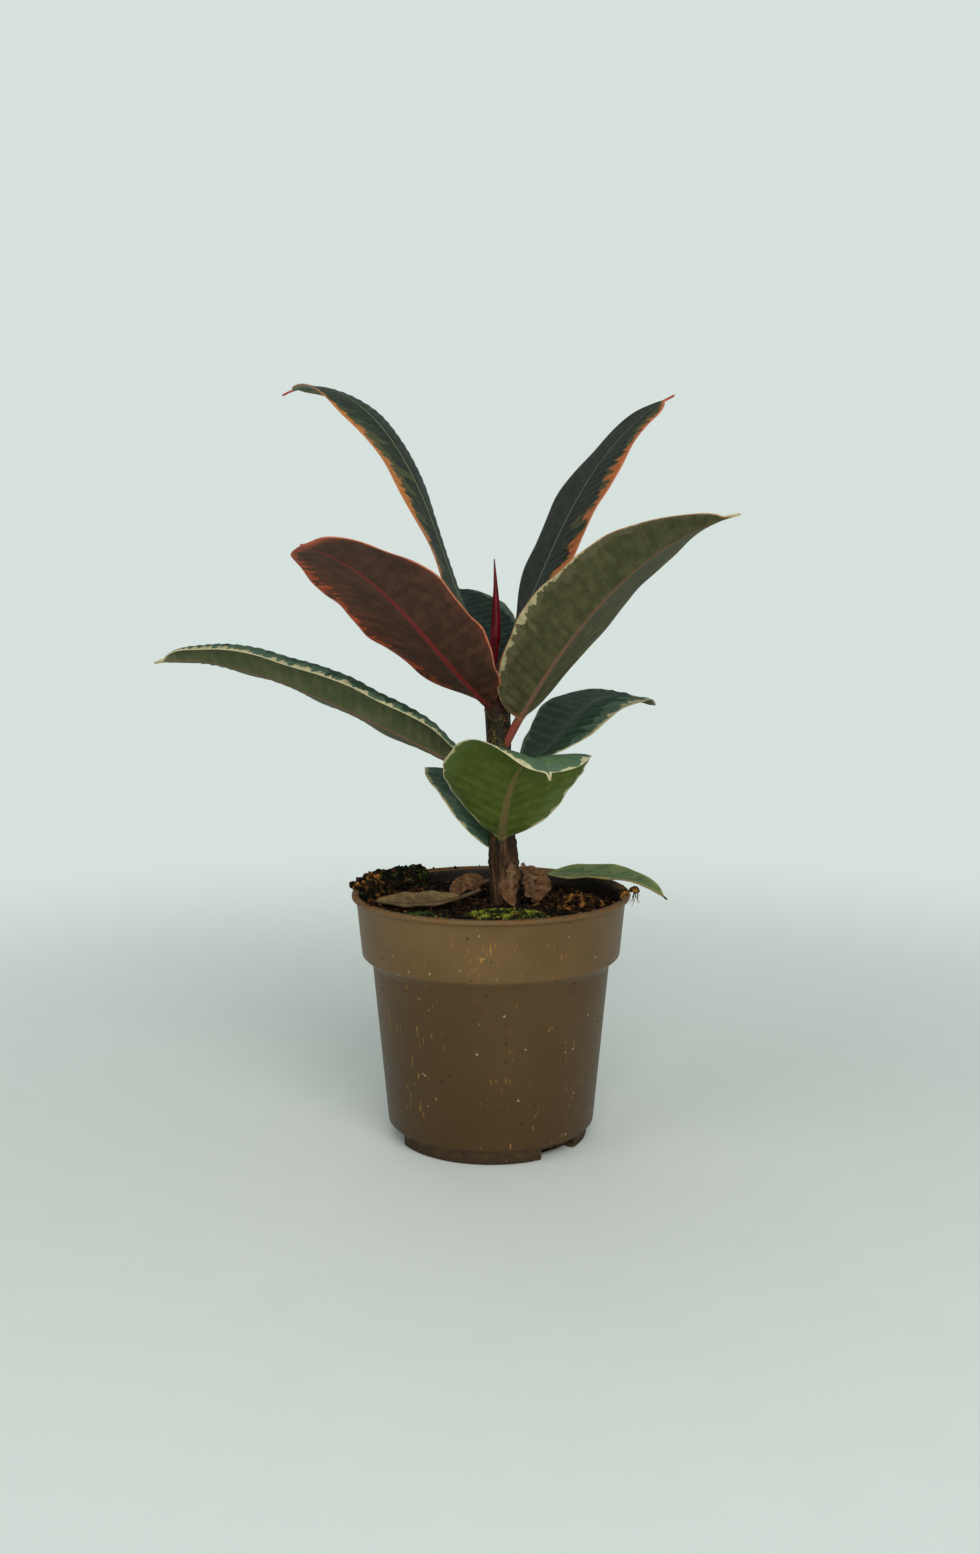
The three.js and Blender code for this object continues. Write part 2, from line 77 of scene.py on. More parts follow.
# %% The camera
CAMERA_BACK = 0.6258
CAMERA_UP = 0.2337
CAMERA_LEFT = 0.0004
CAMERA_DIP = math.radians(7.03)
LENS = 34.1

lens = bpy.data.cameras.new("camera")
lens.lens = LENS
lens.clip_start = 0.01
camera = bpy.data.objects.new("camera", lens)
camera.location = (-CAMERA_LEFT, -CAMERA_BACK, CAMERA_UP)
camera.rotation_euler = (math.pi / 2 - CAMERA_DIP, 0, 0)
bpy.context.scene.collection.objects.link(camera)
bpy.context.scene.camera = camera
print("camera", round(CAMERA_BACK / plant_size.z, 2), "plant heights away")

# %% [markdown]
# ## Shader maths as sums
# Node trees read more easily as arithmetic. A Term wraps a socket, and each operator on it adds a Math
# node. A Finish wraps a material: `node` adds any other node, with its settings first and its inputs after.

# %% A term
class Term:
    """An output socket that Python's operators turn into Math nodes."""

    def __init__(self, finish, socket):
        self.finish = finish
        self.socket = socket

    def math(self, operation, *values, clamp=False):
        settings = {"operation": operation, "use_clamp": clamp}
        return self.finish.node("ShaderNodeMath", settings, dict(enumerate(values)))

    def __add__(self, other):
        return self.math("ADD", self, other)

    __radd__ = __add__

    def __sub__(self, other):
        return self.math("SUBTRACT", self, other)

    def __rsub__(self, other):
        return self.math("SUBTRACT", other, self)

    def __mul__(self, other):
        return self.math("MULTIPLY", self, other)

    __rmul__ = __mul__

    def __truediv__(self, other):
        return self.math("DIVIDE", self, other)

    def __rtruediv__(self, other):
        return self.math("DIVIDE", other, self)

    def __pow__(self, power):
        return self.math("POWER", self, power)

    def __abs__(self):
        return self.math("ABSOLUTE", self)

    def cosine(self):
        return self.math("COSINE", self)

    def clamped(self):
        return self.math("ADD", self, 0.0, clamp=True)


print("Term operators:", sorted(name for name in vars(Term) if name.startswith("__")))

# %% A finish
ROW_TOP = 20.0  # a colour ramp holds values up to 1, so a row of millimetres is divided by this


class Finish:
    """A material whose nodes are made from expressions."""

    def __init__(self, name):
        self.material = bpy.data.materials.new(name)
        self.material.use_nodes = True
        self.tree = self.material.node_tree
        self.shader = self.tree.nodes["Principled BSDF"]

    def node(self, kind, settings=None, inputs=None, output=0):
        made = self.tree.nodes.new(kind)
        for name, value in (settings or {}).items():
            if name == "stops":
                self.set_stops(made.color_ramp, value)
            else:
                setattr(made, name, value)
        for key, value in (inputs or {}).items():
            self.feed(made.inputs[key], value)
        return Term(self, made.outputs[output])

    def set_stops(self, ramp, stops):
        while len(ramp.elements) < len(stops):
            ramp.elements.new(0.5)
        for element, (place, colour) in zip(ramp.elements, stops):
            element.position = place
            element.color = (*colour, 1)

    def feed(self, socket, value):
        if isinstance(value, Term):
            value = value.socket
        if isinstance(value, bpy.types.NodeSocket):
            self.tree.links.new(value, socket)
        elif isinstance(value, tuple) and socket.type == "RGBA":
            socket.default_value = (*value, 1)
        else:
            socket.default_value = value

    def attribute(self, name):
        return self.node("ShaderNodeAttribute", {"attribute_name": name}, output="Fac")

    def place(self):
        return self.node("ShaderNodeTexCoord", output="Object")

    def vector(self, x, y, z):
        return self.node("ShaderNodeCombineXYZ", inputs={0: x, 1: y, 2: z})

    def split(self, vector):
        made = self.node("ShaderNodeSeparateXYZ", inputs={0: vector}).socket.node
        return [Term(self, socket) for socket in made.outputs]

    def mix(self, share, first, second):
        made = self.node("ShaderNodeMix", {"data_type": "RGBA", "clamp_factor": True})
        mixer = made.socket.node
        self.feed(mixer.inputs["Factor"], share)
        self.feed(mixer.inputs[6], first)
        self.feed(mixer.inputs[7], second)
        return Term(self, mixer.outputs[2])

    def noise(self, vector, scale, detail=3.0, roughness=0.55):
        inputs = {"Vector": vector, "Scale": scale, "Detail": detail, "Roughness": roughness}
        return self.node("ShaderNodeTexNoise", inputs=inputs)

    def cells(self, vector, scale, feature="F1"):
        inputs = {"Vector": vector, "Scale": scale}
        return self.node("ShaderNodeTexVoronoi", {"feature": feature}, inputs)

    def rise(self, value, low, high):
        """0 below low and 1 above high, smoothly between."""
        inputs = {"Value": value, "From Min": low, "From Max": high}
        return self.node("ShaderNodeMapRange", {"interpolation_type": "SMOOTHSTEP"}, inputs)

    def row(self, share, values):
        """A value that follows evenly spaced stops, each under ROW_TOP, as share goes from 0 to 1."""
        last = len(values) - 1
        stops = [(i / last, (value / ROW_TOP,) * 3) for i, value in enumerate(values)]
        return self.node("ShaderNodeValToRGB", {"stops": stops}, {"Fac": share}) * ROW_TOP

    def bump(self, height, distance, strength=1.0):
        inputs = {"Height": height, "Distance": distance, "Strength": strength}
        return self.node("ShaderNodeBump", inputs=inputs)

    def set(self, **values):
        for name, value in values.items():
            self.feed(self.shader.inputs[name.replace("_", " ")], value)
        return self.material


print("Finish makes:", sorted(name for name in vars(Finish) if not name.startswith("_")))

# %% [markdown]
# ## Floor and light
# The plant stands on a pale floor that fades into an even, cool grey surround, as paper on a studio table
# does. A broad light hangs in front, as a window would, and weaker ones fill in from the left and from
# behind, so the shadows stay soft. The one behind adds no shine, and the surround lights the plant less
# than it shows, which keeps the dark leaves dark.

# %% Floor and surround
FLOOR_RADIUS = 4.0
FLOOR_GAP = 0.0002
FADE_FROM, FADE_TO = 0.14, 0.75
SURROUND = (0.675, 0.755, 0.725)
SURROUND_LIGHT = 0.42
floor_shape = bmesh.new()
bmesh.ops.create_circle(floor_shape, cap_ends=True, segments=64, radius=FLOOR_RADIUS)
floor_mesh = bpy.data.meshes.new("floor")
floor_shape.to_mesh(floor_mesh)
floor_shape.free()
floor = bpy.data.objects.new("floor", floor_mesh)
floor.location.z = cad_low.z - FLOOR_GAP
bpy.context.scene.collection.objects.link(floor)
floor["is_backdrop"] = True

paper = Finish("pale_floor")
spot = paper.place()
x, y, _ = paper.split(spot)
from_plant = (x * x + y * y) ** 0.5
floor_colour = paper.mix(paper.noise(spot, 40.0), (0.78, 0.83, 0.80), (0.82, 0.87, 0.84))
paper.set(Base_Color=floor_colour, Roughness=0.95)
glow = paper.node("ShaderNodeEmission", inputs={"Color": SURROUND})
fade = paper.node(
    "ShaderNodeMixShader",
    inputs={0: paper.rise(from_plant, FADE_FROM, FADE_TO), 1: paper.shader.outputs[0], 2: glow},
)
paper.feed(paper.tree.nodes["Material Output"].inputs["Surface"], fade)
floor_mesh.materials.append(paper.material)

surround = bpy.data.worlds.new("surround")
surround.use_nodes = True
sky = surround.node_tree.nodes["Background"]
sky.inputs["Color"].default_value = (*SURROUND, 1)
seen = surround.node_tree.nodes.new("ShaderNodeLightPath").outputs["Is Camera Ray"]
strength = surround.node_tree.nodes.new("ShaderNodeMapRange")
strength.inputs["To Min"].default_value = SURROUND_LIGHT
surround.node_tree.links.new(seen, strength.inputs["Value"])
surround.node_tree.links.new(strength.outputs[0], sky.inputs["Strength"])
bpy.context.scene.world = surround
bpy.context.scene.view_settings.view_transform = "Standard"
print("floor at", round(floor.location.z / MM, 1), "mm")

# %% Lights
DAYLIGHT = (1.0, 0.985, 0.96)


def soft_light(name, place, size, power, shines=True):
    """A round area light that faces the plant's middle."""
    light = bpy.data.lights.new(name, "AREA")
    light.shape = "DISK"
    light.size = size
    light.energy = power
    light.color = DAYLIGHT
    lamp = bpy.data.objects.new(name, light)
    lamp.visible_glossy = shines
    lamp.location = place
    middle = Vector((0, 0, plant_size.z / 2))
    lamp.rotation_euler = (middle - lamp.location).to_track_quat("-Z", "Y").to_euler()
    bpy.context.scene.collection.objects.link(lamp)


soft_light("front_window", Vector((0.30, -1.35, 0.75)), 1.5, 19.0)
soft_light("left_fill", Vector((-1.2, -0.8, 0.7)), 1.2, 3.5)
soft_light("back_soft", Vector((-0.3, 1.4, 1.1)), 1.5, 3.5, shines=False)
print("lights", len(bpy.data.lights))

# %% [markdown]
# ## From points to pieces
# Every piece below is worked out as rows of points, so one helper turns rows into a mesh: each row is a
# closed ring, neighbouring rings are joined by quads, and both ends are closed by a cap. `finish_piece`
# then gives the piece its finish, says what it rides on and hides the plain solid it replaces.

# %% Ring meshes
def ring_mesh(name, rings, attributes=None):
    """A closed mesh from an array of rings [ring, point, 3] in metres, each joined to the next."""
    count, around, _ = rings.shape
    numbers = np.arange(count * around).reshape(count, around)
    here, there = numbers[:-1], numbers[1:]
    quads = np.stack([here, np.roll(here, -1, 1), np.roll(there, -1, 1), there], -1).reshape(-1, 4)
    faces = [*quads.tolist(), numbers[0][::-1].tolist(), numbers[-1].tolist()]
    mesh = bpy.data.meshes.new(name)
    mesh.from_pydata(rings.reshape(-1, 3).tolist(), [], faces)
    for key, values in (attributes or {}).items():
        attribute = mesh.attributes.new(key, "FLOAT", "POINT")
        attribute.data.foreach_set("value", np.asarray(values, np.float32).ravel())
    mesh.polygons.foreach_set("use_smooth", [True] * len(mesh.polygons))
    mesh.update()
    return mesh


def face_outwards(mesh):
    shape = bmesh.new()
    shape.from_mesh(mesh)
    bmesh.ops.recalc_face_normals(shape, faces=shape.faces)
    shape.to_mesh(mesh)
    shape.free()


def finish_piece(name, mesh, material, slot, *nodes):
    mesh.materials.clear()
    mesh.materials.append(material)
    piece = bpy.data.objects.new(name, mesh)
    bpy.context.scene.collection.objects.link(piece)
    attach(piece, "root")
    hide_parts(*nodes)
    print(name, len(mesh.polygons), "faces")


print("the packed model has", len(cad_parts), "nodes to replace")

# %% [markdown]
# ## The nursery pot
# The pot is injection moulded polypropylene: a rolled lip, a plain collar, a step, and a tapering body on a
# foot ring with three notches for drainage. A lathe turns its profile, because the mould is round, and
# Boolean cuts take the notches out of the foot. Each corner of the profile is rounded as the mould's is.

# %% The pot's sizes
RIM_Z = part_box("pot")[1].z / MM
RIM_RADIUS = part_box("pot")[1].x / MM
LIP = 2.6
WALL = 1.4
FLOOR_TOP = 2
COLLAR_SET_IN, COLLAR_TAPER, COLLAR_HEIGHT = 2, 2.3, 26.5
STEP_WIDTH, BODY_TAPER = 4.4, 6.5
FOOT_SET_IN, FOOT_HEIGHT = 3, 6.5
SOIL_BELOW_LIP = 6.5
COLLAR_TOP = RIM_RADIUS - COLLAR_SET_IN
COLLAR_FOOT = COLLAR_TOP - COLLAR_TAPER
BODY_TOP = COLLAR_FOOT - STEP_WIDTH
BODY_FOOT = BODY_TOP - BODY_TAPER
FOOT_RADIUS = BODY_FOOT - FOOT_SET_IN
STEP_Z = RIM_Z - COLLAR_HEIGHT
STEP_HEIGHT = 3.5
DRAIN_ANGLES = [-46, 74, 194]
DRAIN_SPREAD = 28
DRAIN_HEIGHT = 4.6
DRAIN_DEPTH = 13
SOIL_Z = RIM_Z - SOIL_BELOW_LIP
POT_SIDES = 160
SHARP_ANGLE = math.radians(50)
print("pot", round(2 * RIM_RADIUS, 1), "mm wide and", round(RIM_Z, 1), "mm high")

# %% The pot's profile
POT_PROFILE = [
    # radius, height, corner radius
    (FOOT_RADIUS, 0, 0.8),
    (FOOT_RADIUS + 0.2, FOOT_HEIGHT, 0.5),
    (BODY_FOOT, FOOT_HEIGHT + 0.2, 0.9),
    (BODY_TOP, STEP_Z - STEP_HEIGHT, 1.6),
    (COLLAR_FOOT, STEP_Z, 0.8),
    (COLLAR_TOP, RIM_Z - LIP, 0.5),
    (RIM_RADIUS, RIM_Z - 0.75 * LIP, 0.7),
    (RIM_RADIUS, RIM_Z, 0.9),
    (RIM_RADIUS - LIP, RIM_Z, 0.6),
    (COLLAR_TOP - WALL, RIM_Z - LIP, 0.6),
    (COLLAR_FOOT - WALL, STEP_Z + WALL / 2, 1.0),
    (BODY_TOP - WALL, STEP_Z - STEP_HEIGHT + WALL / 2, 1.5),
    (BODY_FOOT - WALL, FOOT_HEIGHT + WALL, 0.8),
    (FOOT_RADIUS - WALL, FOOT_HEIGHT, 0.5),
    (FOOT_RADIUS - WALL, FLOOR_TOP, 0.8),
]
INNER_WALL_FROM = 9


def rounded(profile, steps=4):
    """The profile's points with each inner corner replaced by a short curve."""
    corners = [np.array(corner[:2], float) for corner in profile]
    points = []
    for i, corner in enumerate(corners):
        before = corners[i - 1] if i else np.array([0.0, profile[0][1]])
        after = corners[i + 1] if i + 1 < len(corners) else np.array([0.0, profile[-1][1]])
        into, out = before - corner, after - corner
        reach = min(profile[i][2], 0.45 * np.linalg.norm(into), 0.45 * np.linalg.norm(out))
        start = corner + into / np.linalg.norm(into) * reach
        end = corner + out / np.linalg.norm(out) * reach
        for t in np.linspace(0, 1, steps):
            points.append((1 - t) ** 2 * start + 2 * t * (1 - t) * corner + t**2 * end)
    return np.array(points)


def turned_rings(points, sides):
    """Rings round the Z axis, one for each [radius, height] point."""
    angle = np.linspace(0, 2 * np.pi, sides, endpoint=False)
    radius = points[:, :1]
    height = np.broadcast_to(points[:, 1:], (len(points), sides))
    return np.stack([radius * np.cos(angle), radius * np.sin(angle), height], -1) * MM


pot_points = rounded(POT_PROFILE)
print("the profile has", len(pot_points), "points")

# %% Turn the pot and cut its drain notches
def ring_block(inner, outer, middle, spread, low, high, steps=10):
    """A block between two radii, two angles and two heights, as an object for cutting."""
    angles = np.radians(np.linspace(middle - spread / 2, middle + spread / 2, steps))
    around = [(outer, a) for a in angles] + [(inner, a) for a in angles[::-1]]
    outline = np.array([[r * math.cos(a), r * math.sin(a)] for r, a in around])
    rings = np.stack([np.column_stack([outline, np.full(len(outline), z)]) for z in (low, high)])
    mesh = ring_mesh("cutter", rings * MM)
    face_outwards(mesh)
    block = bpy.data.objects.new("cutter", mesh)
    bpy.context.scene.collection.objects.link(block)
    return block


def cut(mesh, blocks):
    """The mesh with every block taken out."""
    body = bpy.data.objects.new("body", mesh)
    bpy.context.scene.collection.objects.link(body)
    for block in blocks:
        modifier = body.modifiers.new("cut", "BOOLEAN")
        modifier.operation = "DIFFERENCE"
        modifier.solver = "EXACT"
        modifier.object = block
    view = bpy.context.evaluated_depsgraph_get()
    result = bpy.data.meshes.new_from_object(body.evaluated_get(view))
    for scratch in [body, *blocks]:
        bpy.data.objects.remove(scratch)
    return result


pot_mesh = ring_mesh("nursery_pot", turned_rings(pot_points, POT_SIDES))
face_outwards(pot_mesh)
notches = [
    ring_block(FOOT_RADIUS - DRAIN_DEPTH, RIM_RADIUS, angle, DRAIN_SPREAD, -1, DRAIN_HEIGHT)
    for angle in DRAIN_ANGLES
]
pot_mesh = cut(pot_mesh, notches)
pot_mesh.set_sharp_from_angle(angle=SHARP_ANGLE)
print("pot", len(pot_mesh.polygons), "faces")

# %% [markdown]
# The plastic is a satin taupe brown. A grower's bench leaves it specked with peat, streaked with yellow
# where water ran down, and dirty along the lip and the foot, so each of those marks is its own mask.

# %% Pot colours
DARK_TAUPE, LIGHT_TAUPE = (0.100, 0.056, 0.018), (0.142, 0.083, 0.030)
SHADED_BROWN = (0.042, 0.020, 0.004)
OCHRE_STREAK = (0.36, 0.18, 0.035)
PEAT_DOT, PALE_DOT = (0.020, 0.013, 0.008), (0.42, 0.34, 0.20)
# The inside colour is painted shade and soil together, for the wall above the soil.
FOOT_DIRT, LIP_DIRT, INSIDE_SHADE_AND_DIRT = (0.030, 0.018, 0.010), (0.16, 0.070, 0.022), (0.006, 0.004, 0.003)

# %% Pot plastic, with painted shade and grime below the collar
plastic = Finish("taupe_pot_plastic")
spot = plastic.place()
x, y, z = plastic.split(spot)
tone = plastic.noise(spot, 18.0, 4.0)
taupe = plastic.mix(plastic.rise(tone, 0.3, 0.7), DARK_TAUPE, LIGHT_TAUPE)
# Painted shade just under the collar step, then darker towards the foot, partly painted shade and partly
# grime.
shade_under_collar = plastic.rise(z, (STEP_Z - 1) * MM, (STEP_Z - 5) * MM)
shade_and_grime = shade_under_collar * 0.55 + plastic.rise(z, STEP_Z * MM, 0.0) * 0.28
taupe = plastic.mix(shade_and_grime, taupe, SHADED_BROWN)
print("plastic darkens below", round(STEP_Z, 1), "mm")

# %% Dirt, streaks and dots on the pot
lip_near = plastic.rise(z, (RIM_Z - 5) * MM, (RIM_Z - 0.5) * MM)
ragged = plastic.noise(spot, 260.0, 4.0, 0.7)
dirt_line = plastic.rise(ragged + lip_near * 0.30, 0.76, 0.88)
foot_near = plastic.rise(z, 9 * MM, 1 * MM)
foot_dirt = plastic.rise(ragged + foot_near * 0.35, 0.66, 0.82)
upright = plastic.vector(x * 1500.0 + z * 60.0, y * 1500.0, z * 150.0)
streak_seed = plastic.noise(upright, 1.0, 2.0, 0.4)
patchy = plastic.noise(spot, 45.0, 2.0)
streaks = plastic.rise(streak_seed + patchy * 0.45, 0.955, 1.0)
dots = 1 - plastic.rise(plastic.cells(spot, 210.0), 0.10, 0.17)
pale_dots = 1 - plastic.rise(plastic.cells(spot, 160.0), 0.06, 0.10)
dotted = plastic.rise(plastic.noise(spot, 60.0, 2.0), 0.50, 0.62)
colour = plastic.mix(streaks * 0.8, taupe, OCHRE_STREAK)
colour = plastic.mix(dots * dotted * 0.85, colour, PEAT_DOT)
colour = plastic.mix(pale_dots * (1 - dotted) * 0.6, colour, PALE_DOT)
colour = plastic.mix(foot_dirt * 0.8, colour, FOOT_DIRT)
colour = plastic.mix(dirt_line * 0.85, colour, LIP_DIRT)
# The inside wall above the soil is painted almost black: painted shade inside the pot, with soil smeared on
# it.
inside = plastic.rise((x * x + y * y) ** 0.5, (COLLAR_TOP - 0.9) * MM, (COLLAR_TOP - 1.1) * MM)
inside = inside * plastic.rise(z, (SOIL_Z - 4) * MM, (SOIL_Z - 2) * MM)
below_lip = plastic.rise(z, (RIM_Z - 2) * MM, (RIM_Z - 6) * MM)
shade_and_smears = plastic.rise(ragged + below_lip * 0.5, 0.20, 0.48)
colour = plastic.mix(inside * shade_and_smears * 0.95, colour, INSIDE_SHADE_AND_DIRT)
print("dirt line", round(RIM_Z - 5, 1), "to", round(RIM_Z, 1), "mm")

# %% The pot's finish
marks = (streaks + dirt_line + foot_dirt + dots * dotted).clamped()
fine = plastic.noise(spot, 900.0, 2.0)
relief = fine * 0.25 + marks * 0.9
pot_finish = plastic.set(
    Base_Color=colour,
    Roughness=0.40 + 0.35 * marks + 0.10 * tone,
    Normal=plastic.bump(relief, 0.00010, 0.7),
    Specular_IOR_Level=0.24,
)
finish_piece("nursery_pot", pot_mesh, pot_finish, "pot_plastic", "pot")

# %% [markdown]
# ## The stem
# The stem is woody and fibrous at the foot and still green near the top. Leaves leave it one above another,
# and each leaves a ring, so its outline swells a little at every joint. It is a tube of rings whose radius
# follows a table of girths, with upright fibres raised on the old bark.

# %% The stem's shape
STEM_FOOT_X = 6.2
STEM_LEAN = 0.04
STEM_RADIUS = 6.8
STEM_BURIED = 35
STEM_HEIGHT = 104
STEM_GIRTHS = [
    (-35, 0.55), (-31, 0.8), (-8, 0.95), (0, 1), (16, 0.96), (22, 1), (30, 0.86),
    (48, 0.8), (66, 0.8), (83, 0.84), (100, 0.72), (104, 0.45),
]
JOINTS = [17.5, 26.5, 49.5, 59.5, 64.5, 83.5, 89.5, 96.5]
JOINT_RINGS = [(0.35, 1.5, 0.9), (-0.15, 3.5, 0.8)]  # how high, how far above the joint, how wide
JOINTS_SHOW_FROM = 10


def stem_x(above_soil):
    return STEM_FOOT_X - STEM_LEAN * above_soil


def wander(seed, *waves):
    """A smooth wave that never quite repeats, between about -1 and 1."""
    random = np.random.default_rng(seed)
    total = 0
    for wave in waves:
        total = total + np.sin(wave * random.uniform(0.8, 1.3) + random.uniform(0, 6.28))
    return total / len(waves)


# %% Rings of the stem
above = np.linspace(-STEM_BURIED, STEM_HEIGHT, 260)
turn = np.linspace(0, 2 * np.pi, 120, endpoint=False)
height_grid, turn_grid = np.meshgrid(above, turn, indexing="ij")
girth = np.interp(height_grid, *zip(*STEM_GIRTHS)) * STEM_RADIUS
old = np.clip((40 - height_grid) / 25, 0, 1)
fibres = wander(1, 9 * turn_grid, 17 * turn_grid + 0.05 * height_grid, 31 * turn_grid, 0.5 * height_grid)
girth = girth - 0.25 + old * 0.28 * fibres
shows = height_grid > JOINTS_SHOW_FROM
for joint in JOINTS:
    for height, up, spread in JOINT_RINGS:
        girth = girth + height * np.exp(-(((height_grid - joint - up) / spread) ** 2)) * shows
stem_rings = np.stack(
    [stem_x(height_grid) + girth * np.cos(turn_grid), girth * np.sin(turn_grid), SOIL_Z + height_grid], -1
)
stem_mesh = ring_mesh("woody_stem", stem_rings * MM)
face_outwards(stem_mesh)
print("stem leans", round(STEM_LEAN * STEM_HEIGHT, 1), "mm to the left")

# %% Stem bark
OLD_BARK = [(0.34, (0.006, 0.003, 0.002)), (0.52, (0.034, 0.016, 0.006)), (0.70, (0.125, 0.066, 0.030))]
GREEN_BARK, OLIVE_BARK = (0.003, 0.003, 0.001), (0.014, 0.013, 0.003)
CRACK, BLUSH = (0.200, 0.130, 0.035), (0.050, 0.014, 0.008)
bark = Finish("stem_bark")
spot = bark.place()
x, y, z = bark.split(spot)
upright = bark.vector(x * 420.0, y * 420.0, z * 60.0)
fibre = bark.noise(upright, 1.0, 4.0, 0.65)
brown = bark.node("ShaderNodeValToRGB", {"stops": OLD_BARK}, {"Fac": fibre})
crackle = bark.cells(bark.vector(x * 700.0, y * 700.0, z * 420.0), 1.0, "DISTANCE_TO_EDGE")
crackle_here = bark.rise(bark.noise(spot, 230.0, 3.0), 0.44, 0.60)
cracks = (1 - bark.rise(crackle, 0.02, 0.12)) * crackle_here
green = bark.mix(bark.rise(bark.noise(spot, 90.0), 0.35, 0.65), GREEN_BARK, OLIVE_BARK)
green = bark.mix(cracks * 0.8, green, CRACK)
height_above = z / MM - SOIL_Z
young = bark.rise(height_above + (fibre - 0.5) * 14, 30.0, 42.0)
bark_colour = bark.mix(young, brown, green)
blush = bark.rise(height_above + (fibre - 0.5) * 6, 78.0, 90.0)
bark_colour = bark.mix(blush * 0.75, bark_colour, BLUSH)
bark_finish = bark.set(
    Base_Color=bark_colour,
    Roughness=0.80 - 0.25 * young,
    Normal=bark.bump(fibre * (1 - young) + cracks * 0.6, 0.0005, 0.9),
    Specular_IOR_Level=0.2,
)
finish_piece("woody_stem", stem_mesh, bark_finish, "stem_bark", "stem")

# %% [markdown]
# ## How a leaf is shaped
# A rubber plant's leaf is a stiff, waxy blade on a short stalk. Its midrib runs along a curve that this
# script steps along from heading (compass direction), rise (above level) and roll (right side up). Across
# the blade each half starts at a fold angle and curls further towards its margin. The side veins leave the
# midrib nearly straight, so the blade is faintly quilted, and the margin waves a little. The mesh stores
# how far along, how far out and how near the margin each point is, for the colours to follow.

# %% The curve of the midrib
def through(stops, share):
    """A value that passes smoothly through evenly spaced stops as share goes from 0 to 1."""
    last = max(len(stops) - 1, 1)
    total = np.zeros_like(share)
    for i, value in enumerate(stops):
        weight = np.ones_like(share)
        for j in range(len(stops)):
            if j != i:
                weight = weight * (share * last - j) / (i - j)
        total += value * weight
    return total


def midrib(foot, whole, heading, rise, roll, steps=600):
    """Distances along the midrib with its points and the blade's right and top directions there."""
    share = np.linspace(0, 1, steps + 1)
    h, r, k = (np.radians(through(stops, share)) for stops in (heading, rise, roll))
    forward = np.stack([np.cos(r) * np.cos(h), np.cos(r) * np.sin(h), np.sin(r)], -1)
    between = (forward[1:] + forward[:-1]) / 2 * (whole / steps)
    points = np.vstack([[foot], foot + np.cumsum(between, 0)])
    level = np.stack([np.sin(h), -np.cos(h), np.zeros_like(h)], -1)
    up = np.cross(level, forward)
    right = level * np.cos(k)[:, None] + up * np.sin(k)[:, None]
    top = up * np.cos(k)[:, None] - level * np.sin(k)[:, None]
    return share * whole, points, right, top


def outline(share, base, end, drip):
    """Half the blade's width as a share of its widest."""
    along = np.minimum(share / (1 - 0.6 * drip), 1)
    widest = base / (base + end)
    body = (along / widest) ** base * ((1 - along) / (1 - widest)) ** end
    tip = np.where(share > 0.5, 0.09 * np.minimum((1 - share) / max(1.6 * drip, 0.02), 1) ** 0.7, 0)
    return np.maximum(body, tip)


print("with ends 0.5 and 0.6 a leaf is widest at", round(0.5 / (0.5 + 0.6), 2), "of its length")

# %% The blade across the midrib
THICKNESS = 0.8
STALK_RADIUS = 1.8
RIB_HEIGHT = 1.1
GROOVE_DEPTH, GROOVE_HALF_WIDTH = 0.22, 0.7
NARROWEST = 0.4
FULL_BEND_AT = 4.0  # half width in mm from which a blade folds and curls fully
VEIN_SLANT = 0.45


def smooth(value, low, high):
    share = np.clip((value - low) / (high - low), 0, 1)
    return share * share * (3 - 2 * share)


def bent_half(fold, curl, reach):
    """How far out and how high a half blade's points are, in half widths, for reach from 0 to 1."""
    t = np.linspace(0, 1, 81)
    angle = fold * np.minimum(t / 0.05, 1) + curl * t**2
    step = t[1]
    out = np.concatenate([[0], np.cumsum((np.cos(angle[1:]) + np.cos(angle[:-1])) / 2 * step)])
    lift = np.concatenate([[0], np.cumsum((np.sin(angle[1:]) + np.sin(angle[:-1])) / 2 * step)])
    return np.interp(reach, t, out), np.interp(reach, t, lift), np.interp(reach, t, angle)


def section(half_points):
    """Places across the blade from -1 to 1 and back underneath, and whether each is on the under face."""
    t = np.linspace(0, 1, 2 * half_points - 1)
    upper = -0.45 * np.cos(np.pi * t) + 0.55 * (2 * t - 1)
    across = np.concatenate([upper, upper[-2:0:-1]])
    under = np.concatenate([np.zeros(len(upper)), np.ones(len(upper) - 2)])
    under[[0, len(upper) - 1]] = 0.5
    return across, under


def stops_along(petiole, length, stations):
    """Distances along a leaf: a few on its stalk, then closer together towards both ends of the blade."""
    even = np.linspace(0, 1, stations)
    blade = 0.5 * ((1 - np.cos(np.pi * even)) / 2) + 0.5 * even
    return np.concatenate([np.linspace(0, petiole, 9)[:-1], petiole + blade * length])


print("a blade is", THICKNESS, "mm thick on a stalk of", 2 * STALK_RADIUS, "mm")

# %% What stands up from a blade
def quilted(vein, out_mm, edge, quilt):
    """The low swelling between side veins, which fades at the midrib and at the margin."""
    bulge = quilt * -np.cos(2 * np.pi * vein)
    return bulge * smooth(out_mm, 0.8, 4.0) * smooth(edge, 0.5, 4.0)


def rippled(across, share, half, wave, waves, crumple, seed):
    """Waves that grow towards the margin, and the creases all over a dry leaf."""
    ripple = wave * np.abs(across) ** 3 * np.sin(2 * np.pi * waves * share + seed + 2.2 * (across > 0))
    crease = wander(seed + 7, 14 * share + 5 * across, 9 * across - 8 * share, 27 * share - 6 * across)
    return ripple * min(half / 10, 1) + crumple * crease


